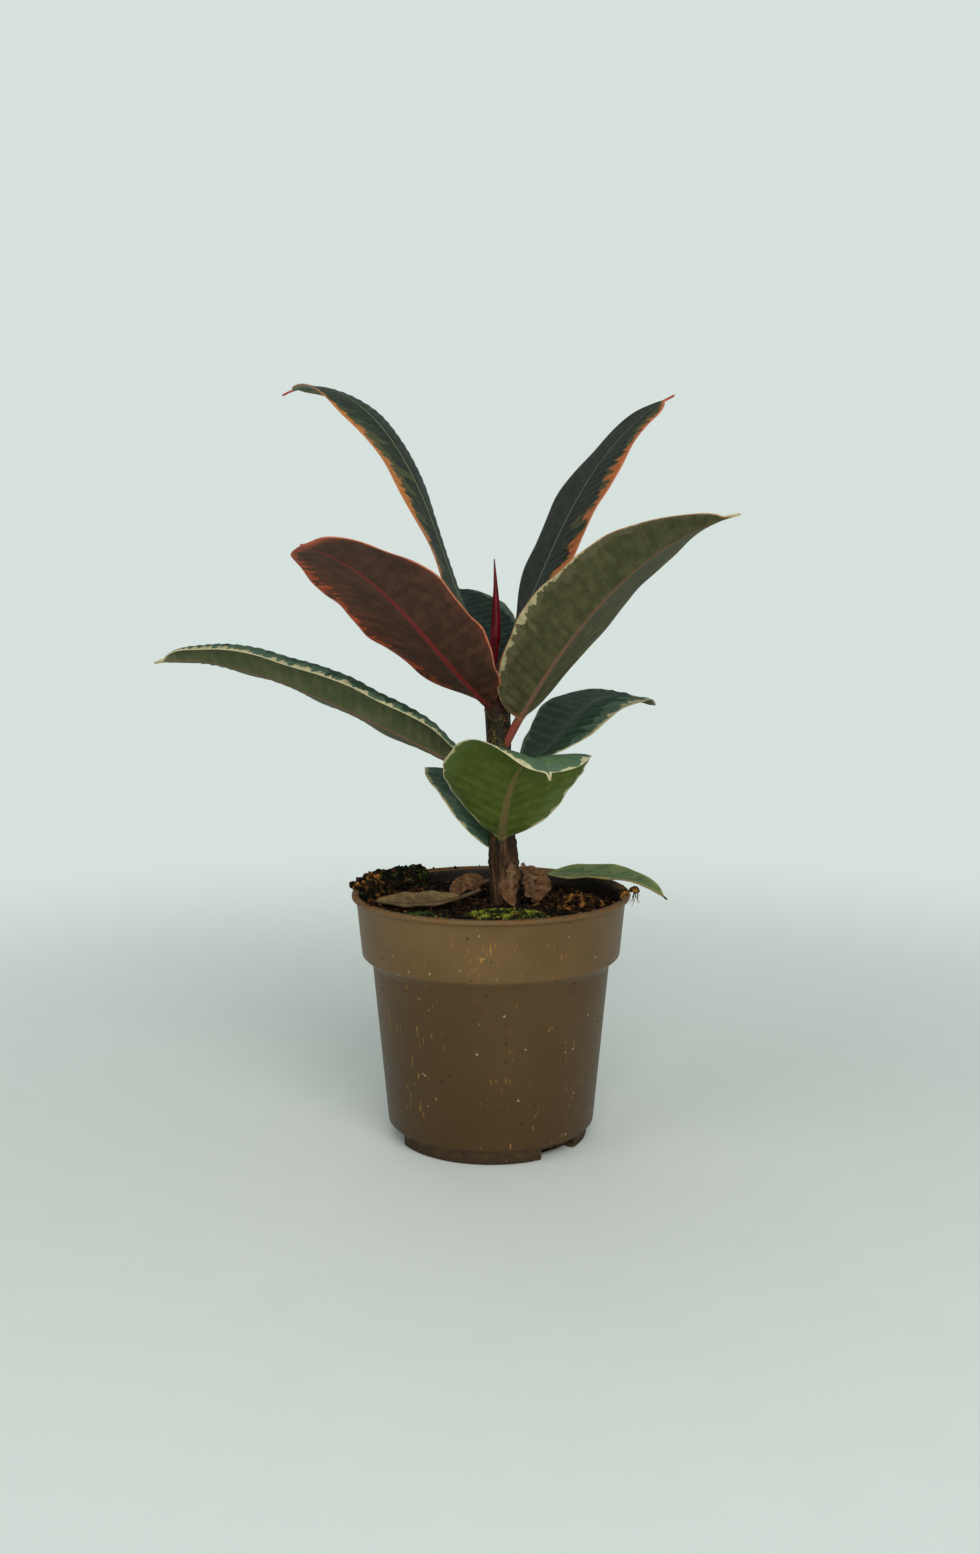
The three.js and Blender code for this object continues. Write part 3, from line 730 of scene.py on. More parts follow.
def ribbed(out_mm, side, share, ridge):
    """The midrib, a ridge on the under face and a groove on the upper one."""
    rib_half = 1.5 - 0.9 * share
    rib = ridge * (1 - 0.75 * share) * np.exp(-((out_mm / rib_half) ** 2))
    groove = GROOVE_DEPTH * np.exp(-((out_mm / GROOVE_HALF_WIDTH) ** 2))
    return np.where(side < 0, -rib, -groove)


print("a midrib stands up", RIB_HEIGHT, "mm at the base and", round(0.25 * RIB_HEIGHT, 2), "mm at the tip")

# %% A whole leaf
def leaf_mesh(name, foot, petiole, length, width, heading, rise, roll, fold, curl, round, drip,
              stalk=STALK_RADIUS, ridge=RIB_HEIGHT, quilt=0.12, wave=0.4, waves=3.0, crumple=0.0,
              gap=4.2, seed=0, stations=130, half_points=27):
    """A leaf with its stalk, blade and midrib in one closed mesh, from its foot on the stem."""
    distance, spine, rights, tops = midrib(np.array(foot, float), petiole + length, heading, rise, roll)
    across, under = section(half_points)
    side = np.where(under > 0.6, -1.0, 1.0)
    reach = np.abs(across)
    halves = [(across < 0, fold[0], curl[0], -1.0), (across >= 0, fold[1], curl[1], 1.0)]
    rings, store = [], {key: [] for key in ("along", "out", "edge", "under", "vein")}
    for stop in stops_along(petiole, length, stations):
        share = max((stop - petiole) / length, 0)
        centre, right, top = (
            np.array([np.interp(stop, distance, values[:, i]) for i in range(3)])
            for values in (spine, rights, tops)
        )
        half = max(width / 2 * float(outline(np.array(share), *round, drip)), NARROWEST)
        thick = stalk * (1 - 0.6 * share)
        flat = 1.0 if share > 0.5 else float(smooth(half, thick, 3 * thick))
        half *= 1 + 0.012 * math.sin(23 * share + seed) + 0.008 * math.sin(51 * share + 2 * seed)
        half_width = thick + (half - thick) * flat
        half_depth = thick + (THICKNESS / 2 - thick) * flat
        out_mm = reach * half_width
        edge = half_width - out_mm
        vein = (stop - petiole - VEIN_SLANT * out_mm) / gap + np.where(across < 0, 0.0, 0.5)
        relief = quilted(vein, out_mm, edge, quilt) + ribbed(out_mm, side, share, ridge)
        relief = relief + rippled(across, share, half, wave, waves, crumple, seed)
        depth = side * half_depth * np.sqrt(np.maximum(1 - reach ** (2 + 6 * flat), 0)) + flat * relief
        bend = flat * min(half / FULL_BEND_AT, 1)
        place = np.zeros((len(across), 3))
        for here, fold_there, curl_there, towards in halves:
            out, lift, angle = bent_half(
                bend * math.radians(fold_there), bend * math.radians(curl_there), reach[here]
            )
            x_part = towards * (half_width * out - depth[here] * np.sin(angle))
            y_part = half_width * lift + depth[here] * np.cos(angle)
            place[here] = centre + x_part[:, None] * right + y_part[:, None] * top
        rings.append(place)
        margin_near = np.minimum(edge, (1 - share) * length * 0.8 + 0.2)
        along = np.full(len(across), (stop - petiole) / length)
        for key, values in zip(store, (along, across * half_width, margin_near, under, vein)):
            store[key].append(values)
    mesh = ring_mesh(name, np.array(rings) * MM, {key: np.array(rows) for key, rows in store.items()})
    face_outwards(mesh)
    return mesh


# %% [markdown]
# ## Leaf colours
# This variety is variegated: a dark centre, patches of grey green that follow the side veins, and a cream
# margin, which is orange to salmon on the youngest leaves. Patches end at veins, so the noise that shapes
# them is stretched along the vein direction. The upper and the under face have their own colours, and the
# midrib is paler above and often tinged with red below.

# %% One face of a leaf
def leaf_face(leaf, dark, light, patch, margin, line, rib, widths, jag=0.9, patch_widths=2.4,
              vein_light=0.25, rib_width=0.7, seed=0.0, line_width=0.35, shade=0.35):
    """The colour of one face. Widths are the margin's in mm, base to tip: the left row, then the right."""
    along, out, edge = (leaf.attribute(key) for key in ("along", "out", "edge"))
    vein = leaf.attribute("vein")
    rightwards = leaf.rise(out, -0.2, 0.2)
    by_vein = leaf.vector(vein * 0.9, abs(out) * 0.07, rightwards * 7.0 + seed)
    blocks = leaf.noise(by_vein, 1.6, 3.0, 0.6)
    slow = leaf.noise(leaf.vector(along * 6.0, rightwards * 3.0, seed + 4.0), 1.0, 1.0)
    left, right = (leaf.row(along, values) for values in widths)
    width = left + (right - left) * rightwards
    ragged = 1 + (leaf.rise(blocks, 0.30, 0.70) - 0.5) * 1.9 * jag + (slow - 0.5) * 1.2
    in_margin = leaf.rise(width * ragged - edge, -0.15, 0.25)
    by_pair = leaf.vector(vein * 0.55, abs(out) * 0.05, rightwards * 5.0 + seed + 9.0)
    other = leaf.noise(by_pair, 1.5, 2.0, 0.5)
    in_patch = leaf.rise((width + 1.0) * patch_widths * (0.3 + (other - 0.35) * 4.0) - edge, -0.4, 0.8)
    mottle = leaf.noise(leaf.vector(vein * 0.7, out * 0.12, seed + 2.0), 1.3, 4.0, 0.6)
    colour = leaf.mix(leaf.rise(mottle, 0.38, 0.66), dark, light)
    colour = leaf.mix(in_patch * 0.85, colour, patch)
    colour = leaf.mix(in_margin, colour, margin)
    stripe = (vein * (2 * math.pi)).cosine() * 0.5 + 0.5
    # Broad dark bands along the side veins are painted shade, for the shading of the quilted blade; shade
    # sets how dark.
    broad = leaf.noise(leaf.vector(vein * 1.0, abs(out) * 0.03, seed + 5.0), 2.2, 2.0, 0.6)
    colour = leaf.mix(leaf.rise(broad, 0.35, 0.70) * shade, colour, dark)
    side_vein = (stripe ** 20) * leaf.rise(edge, 0.3, 3.0) * leaf.rise(broad, 0.35, 0.6)
    colour = leaf.mix(side_vein * vein_light, colour, rib)
    colour = leaf.mix(leaf.rise(edge, line_width + 0.15, line_width - 0.15), colour, line)
    half_rib = rib_width * (1.15 - along)
    on_rib = leaf.rise(abs(out) - half_rib, 0.25, -0.15)
    return leaf.mix(on_rib * 0.9, colour, rib)


print("a leaf face: centre, patches, margin, side veins, margin line and rib, in that order")

# %% A whole leaf's finish
SPECK = (0.05, 0.035, 0.02)


def leaf_finish(name, upper, lower, stalk_colour, tip_colour, gloss, seed):
    """Both faces, the stalk and the tip, with fine relief along the veins."""
    leaf = Finish(name)
    above_colour = leaf_face(leaf, seed=seed, **upper)
    below_colour = leaf_face(leaf, seed=seed + 20.0, **lower)
    under = leaf.rise(leaf.attribute("under"), 0.35, 0.65)
    along = leaf.attribute("along")
    colour = leaf.mix(under, above_colour, below_colour)
    colour = leaf.mix(leaf.rise(along, 0.03, -0.02), colour, stalk_colour)
    colour = leaf.mix(leaf.rise(along, 0.955, 0.985), colour, tip_colour)
    spot = leaf.place()
    speck = leaf.rise(leaf.cells(spot, 420.0), 0.10, 0.06)
    speck_here = leaf.rise(leaf.noise(spot, 120.0, 2.0), 0.58, 0.66)
    colour = leaf.mix(speck * speck_here * 0.5, colour, SPECK)
    vein = leaf.attribute("vein")
    stripe = (vein * (2 * math.pi)).cosine() * 0.5 + 0.5
    net = leaf.cells(leaf.vector(vein * 3.0, leaf.attribute("out") * 0.7, 0.0), 1.0, "DISTANCE_TO_EDGE")
    skin = leaf.noise(spot, 1500.0, 2.0)
    relief = (stripe ** 6) * (under * 0.9 - 0.3) + leaf.rise(net, 0.0, 0.12) * 0.25 + skin * 0.12
    cloudy = leaf.noise(spot, 55.0, 3.0)
    return leaf.set(
        Base_Color=colour,
        Roughness=gloss + 0.06 + under * 0.12 + cloudy * 0.12,
        Normal=leaf.bump(relief, 0.00016, 0.65),
        Specular_IOR_Level=0.22,
    )


print("leaf colours follow along, out, edge, under and vein")

# %% [markdown]
# ## The leaves
# Each leaf has a row of its own: where it leaves the stem, its sizes, how its midrib runs, and its colours.
# The oldest leaves are green and cream, the young ones dark with orange margins and red-brown undersides.

# %% Colours that several leaves share
CREAM = (0.42, 0.37, 0.20)
PALE_CREAM = (0.55, 0.50, 0.30)
SALMON = (0.50, 0.16, 0.08)
ORANGE = (0.46, 0.13, 0.035)
DEEP_TEAL = (0.014, 0.034, 0.024)
TEAL = (0.034, 0.068, 0.044)
BLACK_GREEN = (0.009, 0.016, 0.010)

old_upper = dict(dark=DEEP_TEAL, light=TEAL, patch=(0.075, 0.125, 0.080), margin=CREAM, line=PALE_CREAM,
                 rib=(0.11, 0.15, 0.09), widths=([1.2, 1.0], [1.2, 1.0]), vein_light=0.22)
old_lower = dict(dark=(0.046, 0.048, 0.020), light=(0.075, 0.076, 0.032), patch=(0.085, 0.095, 0.045),
                 margin=CREAM, line=PALE_CREAM, rib=(0.17, 0.10, 0.06), widths=([1.0, 0.8], [1.0, 0.8]),
                 vein_light=0.22)
young_upper = dict(dark=BLACK_GREEN, light=(0.020, 0.032, 0.020), patch=(0.055, 0.070, 0.025), margin=ORANGE,
                   line=SALMON, rib=(0.13, 0.15, 0.09), widths=([3.0, 1.5], [3.0, 1.5]), vein_light=0.10)
young_lower = dict(dark=(0.050, 0.022, 0.012), light=(0.088, 0.036, 0.020), patch=(0.110, 0.036, 0.020),
                   margin=(0.35, 0.060, 0.022), line=SALMON, rib=(0.25, 0.050, 0.030),
                   widths=([1.2, 1.0], [1.2, 1.0]), vein_light=0.18)
print("old leaves have cream margins and young ones orange")

# %% The lowest leaves
LEAVES = {
    "leaf_low_back_left": dict(
        shape=dict(height=17.5, petiole=8, length=70, width=36, heading=[140, 128, 112, 112],
                   rise=[56, 50, 14, -12], roll=[0, 0, 0], fold=[8, 8], curl=[0, 0], round=[0.46, 0.62],
                   drip=0.07, quilt=0.2, gap=4.4, seed=1),
        upper=dict(old_upper, dark=(0.028, 0.060, 0.036), light=(0.050, 0.090, 0.050)),
        lower=old_lower, stalk=(0.09, 0.10, 0.05), tip=CREAM, gloss=0.42),
    "leaf_front": dict(
        shape=dict(height=26.5, petiole=8, length=77, width=60, heading=[-97, -84, -74, -62, -67],
                   rise=[25, 46, 46, 22, -81], roll=[8, 2, -1, 0, 4], fold=[6, 17], curl=[-20, 2],
                   round=[0.8, 0.42], drip=0.07, quilt=0.10, gap=6.0, wave=1.0, waves=2.2, seed=2),
        upper=dict(old_upper, dark=(0.070, 0.135, 0.060), light=(0.110, 0.185, 0.085), margin=PALE_CREAM,
                   widths=([1.5, 2.2, 2.2], [1.5, 2.2, 2.2]), jag=1.1),
        lower=dict(old_lower, dark=(0.062, 0.092, 0.012), light=(0.095, 0.130, 0.020),
                   patch=(0.080, 0.115, 0.030), rib=(0.165, 0.125, 0.045), widths=([0.8, 0.8], [0.8, 0.8]),
                   vein_light=0.13, rib_width=1.5),
        stalk=(0.10, 0.085, 0.045), tip=CREAM, gloss=0.40),
    "leaf_low_left": dict(
        shape=dict(height=49.5, petiole=18, length=145, width=52, heading=[188, 191, 176, 157],
                   rise=[36, 27, 19, -12], roll=[-23, -22, -30], fold=[49, 14], curl=[-132, 2],
                   round=[0.56, 0.78], drip=0.05, quilt=0.22, gap=4.6, wave=0.8, waves=4.0, seed=3),
        upper=dict(old_upper, dark=(0.018, 0.042, 0.026), light=(0.036, 0.070, 0.042), jag=1.3,
                   widths=([0.7, 1.0, 1.1, 0.8], [1.5, 1.2])),
        lower=dict(old_lower, dark=(0.058, 0.070, 0.026), light=(0.085, 0.095, 0.040),
                   patch=(0.115, 0.120, 0.060), widths=([0.8, 0.7], [1.2, 1.0])),
        stalk=(0.16, 0.085, 0.055), tip=CREAM, gloss=0.42),
}
print(len(LEAVES), "low leaves")

# %% The leaves half way up
LEAVES |= {
    "leaf_right_back": dict(
        shape=dict(height=59.5, petiole=15, length=108, width=47, heading=[41, 54, 59, 47],
                   rise=[-17, 30, 7, -2], roll=[10, 5, -14], fold=[2, 2], curl=[-3, -3],
                   round=[0.55, 0.42], drip=0.01, quilt=0.6, gap=6.5, wave=0.7, seed=4),
        upper=dict(old_upper, dark=(0.016, 0.036, 0.020), light=(0.030, 0.056, 0.032),
                   widths=([0.3, 0.3], [0.6, 2.2, 3.2, 0.8]), vein_light=0.06, rib=(0.04, 0.06, 0.035)),
        lower=old_lower, stalk=(0.12, 0.06, 0.04), tip=CREAM, gloss=0.36),
    "leaf_mid_right": dict(
        shape=dict(height=64.5, petiole=21, length=134, width=57, heading=[-45, -40, -39, -31],
                   rise=[58, 50, 36, 11], roll=[4, 6, 7], fold=[15, 17], curl=[0, 1],
                   round=[0.52, 0.65], drip=0.07, quilt=0.14, gap=4.4, wave=0.5, seed=5),
        upper=old_upper,
        lower=dict(old_lower, dark=(0.048, 0.048, 0.015), light=(0.080, 0.078, 0.028),
                   patch=(0.105, 0.092, 0.045), rib=(0.17, 0.085, 0.050), line=(0.40, 0.20, 0.10),
                   widths=([1.2, 0.5, 0.8, 0.4], [0.7, 2.3, 0.4, 0.3]),
                   rib_width=1.2, vein_light=0.12),
        stalk=(0.24, 0.055, 0.038), tip=CREAM, gloss=0.42),
    "leaf_mid_left": dict(
        shape=dict(height=83.5, petiole=10, length=125, width=55, heading=[227, 237, 232, 222],
                   rise=[33, 35, 32, 9], roll=[6, -2, -9], fold=[5, 0], curl=[0, -5],
                   round=[0.50, 0.38], drip=0.02, quilt=0.12, gap=6.0, wave=1.1, waves=3.3, seed=6),
        upper=young_upper,
        lower=dict(young_lower, widths=([0.5, 0.5], [2.6, 3.4, 2.0, 4.2, 1.4]), rib_width=1.6, jag=1.4,
                   rib=(0.20, 0.020, 0.018), margin=(0.42, 0.075, 0.022), line_width=0.6),
        stalk=(0.085, 0.020, 0.016), tip=(0.30, 0.07, 0.04), gloss=0.40),
    "leaf_back": dict(
        shape=dict(height=89.5, petiole=14, length=110, width=50, heading=[103, 107, 102, 94],
                   rise=[54, 25, 20, -17], roll=[0, -5, -3], fold=[10, 7], curl=[0, 0],
                   round=[0.5, 0.63], drip=0.07, quilt=0.5, gap=6.0, seed=7),
        upper=dict(old_upper, dark=(0.005, 0.016, 0.010), light=(0.013, 0.030, 0.019), vein_light=0.04,
                   rib=(0.04, 0.06, 0.035), widths=([0.4, 0.4], [0.4, 0.4])),
        lower=old_lower, stalk=(0.12, 0.06, 0.04), tip=CREAM, gloss=0.36),
}
print(len(LEAVES), "leaves so far")

# %% The two youngest leaves
LEAVES |= {
    "leaf_upper_left": dict(
        shape=dict(height=96.5, petiole=17, length=160, width=46, heading=[146, 177, 159, 150],
                   rise=[57, 71, 49, -21], roll=[31, 36, 25], fold=[26, -32], curl=[6, -36],
                   round=[0.57, 0.58], drip=0.07, quilt=0.14, gap=4.4, wave=0.8, waves=3.6, seed=8),
        upper=dict(young_upper, dark=(0.010, 0.019, 0.009), light=(0.024, 0.040, 0.020),
                   patch=(0.085, 0.090, 0.026), margin=(0.62, 0.21, 0.045),
                   widths=([2.4, 3.2, 6.5, 1.0, 0.2], [0.8, 0.8])),
        lower=dict(young_lower, dark=(0.052, 0.070, 0.036), light=(0.085, 0.105, 0.055),
                   patch=(0.17, 0.19, 0.09), margin=(0.36, 0.17, 0.10), widths=([0.8, 0.6], [1.4, 0.5])),
        stalk=(0.17, 0.045, 0.03), tip=(0.34, 0.045, 0.03), gloss=0.30),
    "leaf_upper_right": dict(
        shape=dict(height=99.5, petiole=13, length=135, width=47, heading=[7, 26, 20, 18],
                   rise=[63, 64, 54, 27], roll=[12, 0, -11], fold=[0, 1], curl=[-5, -5],
                   round=[0.52, 0.59], drip=0.07, quilt=0.14, gap=4.4, wave=0.8, waves=3.2, seed=9),
        upper=dict(young_upper, dark=(0.010, 0.015, 0.009), light=(0.022, 0.030, 0.018), line_width=0.8,
                   patch=(0.075, 0.075, 0.022), widths=([0.3, 0.3], [5.0, 5.8, 5.2, 3.4, 1.6]),
                   patch_widths=1.3),
        lower=young_lower, stalk=(0.17, 0.045, 0.03), tip=(0.34, 0.045, 0.03), gloss=0.34),
}
YOUNG = ("leaf_mid_left", "leaf_upper_left", "leaf_upper_right")
print(len(LEAVES), "leaves, of which", len(YOUNG), "young")

# %% Grow the leaves
for number, (name, row) in enumerate(LEAVES.items()):
    shape = dict(row["shape"])
    height = shape.pop("height")
    foot = (stem_x(height), 0, SOIL_Z + height)
    mesh = leaf_mesh(name + "_blade", foot, **shape)
    finish = leaf_finish(
        name + "_skin", row["upper"], row["lower"], row["stalk"], row["tip"], row["gloss"], 3.7 * number
    )
    finish_piece(name + "_blade", mesh, finish, "young_leaf" if name in YOUNG else "mature_leaf", name)

# %% [markdown]
# ## The crimson sheath
# A new leaf grows inside a rolled crimson sheath at the very tip. It is a slender spike of rings, a little
# bowed, with its wrapped edge running round it as a low spiral.

# %% The sheath
SHEATH_FOOT = 205.5
SHEATH_HEIGHT = 43.5
SHEATH_RADIUS = 2.3
SHEATH_GIRTHS = [0.6, 1, 0.75, 0.4, 0.1]
SHEATH_BOW = 0.8
share = np.linspace(0, 1, 90)
turn = np.linspace(0, 2 * np.pi, 40, endpoint=False)
share_grid, turn_grid = np.meshgrid(share, turn, indexing="ij")
girth = np.interp(share_grid, np.linspace(0, 1, 5), SHEATH_GIRTHS) * SHEATH_RADIUS
wrap = 0.10 * np.exp(-((np.mod(turn_grid + 2.5 * share_grid, 2 * np.pi) - 4.4) / 0.35) ** 2)
girth = girth * (1 + wrap - 0.03)
sheath_x = stem_x(STEM_HEIGHT) - 0.65 + SHEATH_BOW * np.sin(np.pi * share_grid)
sheath_rings = np.stack(
    [sheath_x + girth * np.cos(turn_grid), girth * np.sin(turn_grid),
     SHEATH_FOOT + SHEATH_HEIGHT * share_grid], -1
)
sheath_mesh = ring_mesh("crimson_sheath", sheath_rings * MM, {"along": share_grid})
face_outwards(sheath_mesh)
print("sheath", SHEATH_HEIGHT, "mm tall")

# %% The sheath's finish
DARK_CRIMSON, CRIMSON, BROWN_TIP = (0.060, 0.001, 0.003), (0.20, 0.004, 0.012), (0.10, 0.03, 0.02)
crimson = Finish("crimson_sheath_skin")
spot = crimson.place()
x, y, z = crimson.split(spot)
lengthwise = crimson.noise(crimson.vector(x * 900.0, y * 900.0, z * 60.0), 1.0, 3.0)
red = crimson.mix(crimson.rise(lengthwise, 0.35, 0.65), DARK_CRIMSON, CRIMSON)
red = crimson.mix(crimson.rise(crimson.attribute("along"), 0.85, 1.0), red, BROWN_TIP)
sheath_finish = crimson.set(
    Base_Color=red,
    Roughness=0.38 + 0.15 * lengthwise,
    Normal=crimson.bump(lengthwise, 0.0002, 0.5),
    Specular_IOR_Level=0.2,
)
finish_piece("crimson_sheath", sheath_mesh, sheath_finish, "crimson_sheath", "shoot_sheath")

# %% [markdown]
# ## What has fallen
# A green leaf lies half over the rim, a dry one on the soil, and three papery sheaths hang at the stem's
# foot. The same shape as a leaf's makes them all, with dull finishes of their own. The packed model has no
# sheath in front of the stem, so that one replaces nothing.

# %% Colours of what has fallen
STEM_LEFT = STEM_FOOT_X - STEM_RADIUS
STEM_RIGHT = STEM_FOOT_X + STEM_RADIUS
fallen_upper = dict(dark=(0.065, 0.115, 0.040), light=(0.120, 0.185, 0.065), patch=(0.15, 0.20, 0.07),
                    margin=(0.30, 0.28, 0.09), line=(0.20, 0.15, 0.06), rib=(0.16, 0.18, 0.09),
                    widths=([1.4, 1.2], [1.8, 1.4]))
dry_tones = dict(dark=(0.095, 0.062, 0.024), light=(0.190, 0.135, 0.058), patch=(0.20, 0.135, 0.055),
                 margin=(0.09, 0.05, 0.02), line=(0.05, 0.03, 0.012), rib=(0.06, 0.035, 0.015),
                 widths=([0.8, 0.8], [0.8, 0.8]))
papery = dict(dark=(0.050, 0.023, 0.009), light=(0.215, 0.115, 0.048), patch=(0.13, 0.062, 0.024),
              margin=(0.19, 0.095, 0.045), line=(0.13, 0.055, 0.025), rib=(0.16, 0.09, 0.05),
              widths=([0.7, 0.7], [0.7, 0.7]), vein_light=0.05)
papery_grey = dict(papery, dark=(0.09, 0.060, 0.040), light=(0.24, 0.17, 0.11))
print("the stem's sides are at", round(STEM_LEFT, 1), "and", round(STEM_RIGHT, 1), "mm")

# %% Fallen leaves
LITTER = {
    "fallen_green_leaf": dict(
        foot=(0.4 * RIM_RADIUS, 0.55 * RIM_RADIUS, RIM_Z + 1.2), slot="fallen_leaf", gloss=0.45,
        shape=dict(petiole=2, length=59, width=21, heading=[-22, -24, -42], rise=[1, -1, -34],
                   roll=[-14, -9, 4], fold=[8, 12], curl=[0, 0], round=[0.6, 0.75], drip=0.07,
                   stalk=0.8, ridge=0.4, wave=0.4, gap=3.6, seed=11),
        faces=(fallen_upper, fallen_upper), stalk=(0.10, 0.08, 0.04), tip=(0.06, 0.035, 0.015)),
    "dry_leaf": dict(
        foot=(STEM_LEFT - 3.9, -6.5, RIM_Z + 2), slot="dry_leaf", gloss=0.65,
        shape=dict(petiole=9, length=0.64 * RIM_RADIUS, width=17, heading=[196, 182, 172],
                   rise=[-24, -4, 8], roll=[10, 12, 12], fold=[10, 12], curl=[20, 10], round=[0.55, 0.6],
                   drip=0.07, stalk=0.8, ridge=0.4, wave=0.5, gap=3.0, seed=12),
        faces=(dry_tones, dry_tones), stalk=(0.08, 0.05, 0.025), tip=(0.05, 0.03, 0.015)),
}
print(len(LITTER), "fallen leaves")

# %% Papery sheaths
LITTER |= {
    "dry_sheath_left": dict(
        foot=(STEM_LEFT + 0.1, 6, RIM_Z + 3.4), slot="dry_sheath", gloss=0.7,
        shape=dict(petiole=2, length=17, width=13, heading=[185, 200, 215], rise=[-10, -20, -5],
                   roll=[30, 20, 10], fold=[25, 30], curl=[40, 30], round=[0.5, 0.5], drip=0.02,
                   stalk=0.8, ridge=0.2, wave=1.6, waves=3.3, crumple=1.2, gap=2.0, quilt=0, seed=13),
        faces=(papery, papery_grey), stalk=(0.16, 0.09, 0.05), tip=(0.2, 0.09, 0.04)),
    "dry_sheath_right": dict(
        foot=(STEM_RIGHT + 0.4, -2, RIM_Z + 12.5), slot="dry_sheath", gloss=0.7,
        shape=dict(petiole=2, length=16, width=18, heading=[-20, -30, -35], rise=[-52, -66, -50],
                   roll=[0, -10, -20], fold=[10, 10], curl=[35, 40], round=[0.5, 0.45], drip=0.02,
                   stalk=0.8, ridge=0.2, wave=1.8, waves=3.1, crumple=1.3, gap=2.0, quilt=0, seed=14),
        faces=(papery, papery_grey), stalk=(0.16, 0.09, 0.05), tip=(0.2, 0.09, 0.04)),
    "dry_sheath_front": dict(
        foot=(STEM_FOOT_X + 2.5, -STEM_RADIUS + 0.4, RIM_Z + 14), slot="dry_sheath", gloss=0.7,
        shape=dict(petiole=1, length=19, width=12, heading=[-75, -85, -60], rise=[-88, -76, -62],
                   roll=[0, 8, 20], fold=[-34, -34], curl=[-26, -16], round=[0.5, 0.85], drip=0.02,
                   stalk=0.6, ridge=0.2, wave=1.2, waves=3.4, crumple=0.6, gap=2.0, quilt=0, seed=15),
        faces=(papery, papery_grey), stalk=(0.10, 0.05, 0.03), tip=(0.12, 0.06, 0.03)),
}
print(len(LITTER), "fallen pieces")

# %% Lay them down
for number, (name, row) in enumerate(LITTER.items()):
    mesh = leaf_mesh(name + "_blade", row["foot"], stations=70, half_points=15, **row["shape"])
    finish = leaf_finish(
        name + "_skin", *row["faces"], row["stalk"], row["tip"], row["gloss"], 50.0 + number
    )
    replaced = [name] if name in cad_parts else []
    finish_piece(name + "_blade", mesh, finish, row["slot"], *replaced)

# %% [markdown]
# ## Soil
# The pot is filled with dark peat with bark fibre in it. A lumpy bed gives the soil its level. The loose
# crumbs on it repeat in their hundreds, so Geometry Nodes scatters a rough little stone over the bed, each
# with its own size and turn.

# %% The soil's bed
GAP_TO_WALL = 0.35
SOIL_FROM = 2.3
BED_Z = SOIL_Z - 1.0
BED_CENTRE = [0.5, 2.4]
BED_SIDES, BED_RINGS = 120, 42
LUMP_HEIGHT, GRAIN_HEIGHT, BED_LIFT = 0.75, 0.35, 0.4


def lumps(x, y):
    """Uneven ground, between about -1 and 1."""
    return 0.5 * np.sin(x / 3.1 + 1.3 * np.sin(y / 4.7)) + 0.5 * np.cos(y / 2.6 - x / 6.3)


inner_wall = rounded(POT_PROFILE[INNER_WALL_FROM:])[::-1] - [GAP_TO_WALL, 0]
below = inner_wall[(inner_wall[:, 1] > SOIL_FROM) & (inner_wall[:, 1] < BED_Z)]
soil_edge = float(np.interp(BED_Z, inner_wall[:, 1], inner_wall[:, 0]))
bed_rings = np.array([[soil_edge * share, BED_Z] for share in np.linspace(1, 0.01, BED_RINGS)])
soil_profile = np.vstack([[BED_CENTRE], below, bed_rings])
soil_rings = turned_rings(soil_profile, BED_SIDES)
bed_from = len(soil_profile) - len(bed_rings)
bed = soil_rings[bed_from:] / MM
bed_x, bed_y = bed[..., 0], bed[..., 1]
rough = GRAIN_HEIGHT * wander(5, bed_x * 1.7, bed_y * 1.9, (bed_x + bed_y) * 1.3)
fade = np.linspace(0, 1, len(bed_rings))[:, None] ** 0.3
soil_rings[bed_from:, :, 2] += (LUMP_HEIGHT * lumps(bed_x, bed_y) + rough + BED_LIFT) * fade * MM
soil_mesh = ring_mesh("peat_bed", soil_rings)
face_outwards(soil_mesh)
print("soil lies", round(RIM_Z - SOIL_Z, 1), "mm below the lip")

# %% Soil and crumb finishes
PEAT = [
    (0.25, (0.0008, 0.0006, 0.0004)), (0.58, (0.0045, 0.0028, 0.0016)), (0.82, (0.050, 0.022, 0.007)),
]
BARK_BITS = [
    (0.44, (0.004, 0.002, 0.001)), (0.64, (0.050, 0.021, 0.006)), (0.84, (0.36, 0.16, 0.032)),
]
GRAIN_SCALE = 900.0
GRAIN_BUMP = 0.0004


def crumb_finish(name, stops):
    """A rough dark finish whose tone changes from crumb to crumb."""
    soil = Finish(name)
    spot = soil.place()
    grains = soil.noise(spot, GRAIN_SCALE, 3.0, 0.7)
    clods = soil.cells(spot, GRAIN_SCALE * 0.35)
    mixed = (grains * 0.55 + clods * 0.6).clamped()
    colour = soil.node("ShaderNodeValToRGB", {"stops": stops}, {"Fac": mixed})
    return soil.set(
        Base_Color=colour,
        Roughness=0.88 + 0.1 * grains,
        Normal=soil.bump(grains, GRAIN_BUMP, 0.9),
        Specular_IOR_Level=0.12,
    )


peat_finish = crumb_finish("dark_peat", PEAT)
bark_bits_finish = crumb_finish("bark_bits", BARK_BITS)
finish_piece("peat_bed", soil_mesh, peat_finish, "potting_soil", "potting_soil")

# %% [markdown]
# The scatter tree takes the ground mesh, a density, a size range, a stretch and a seed. It ends in Realize
# Instances and Set Material, and the result becomes a plain mesh at once.

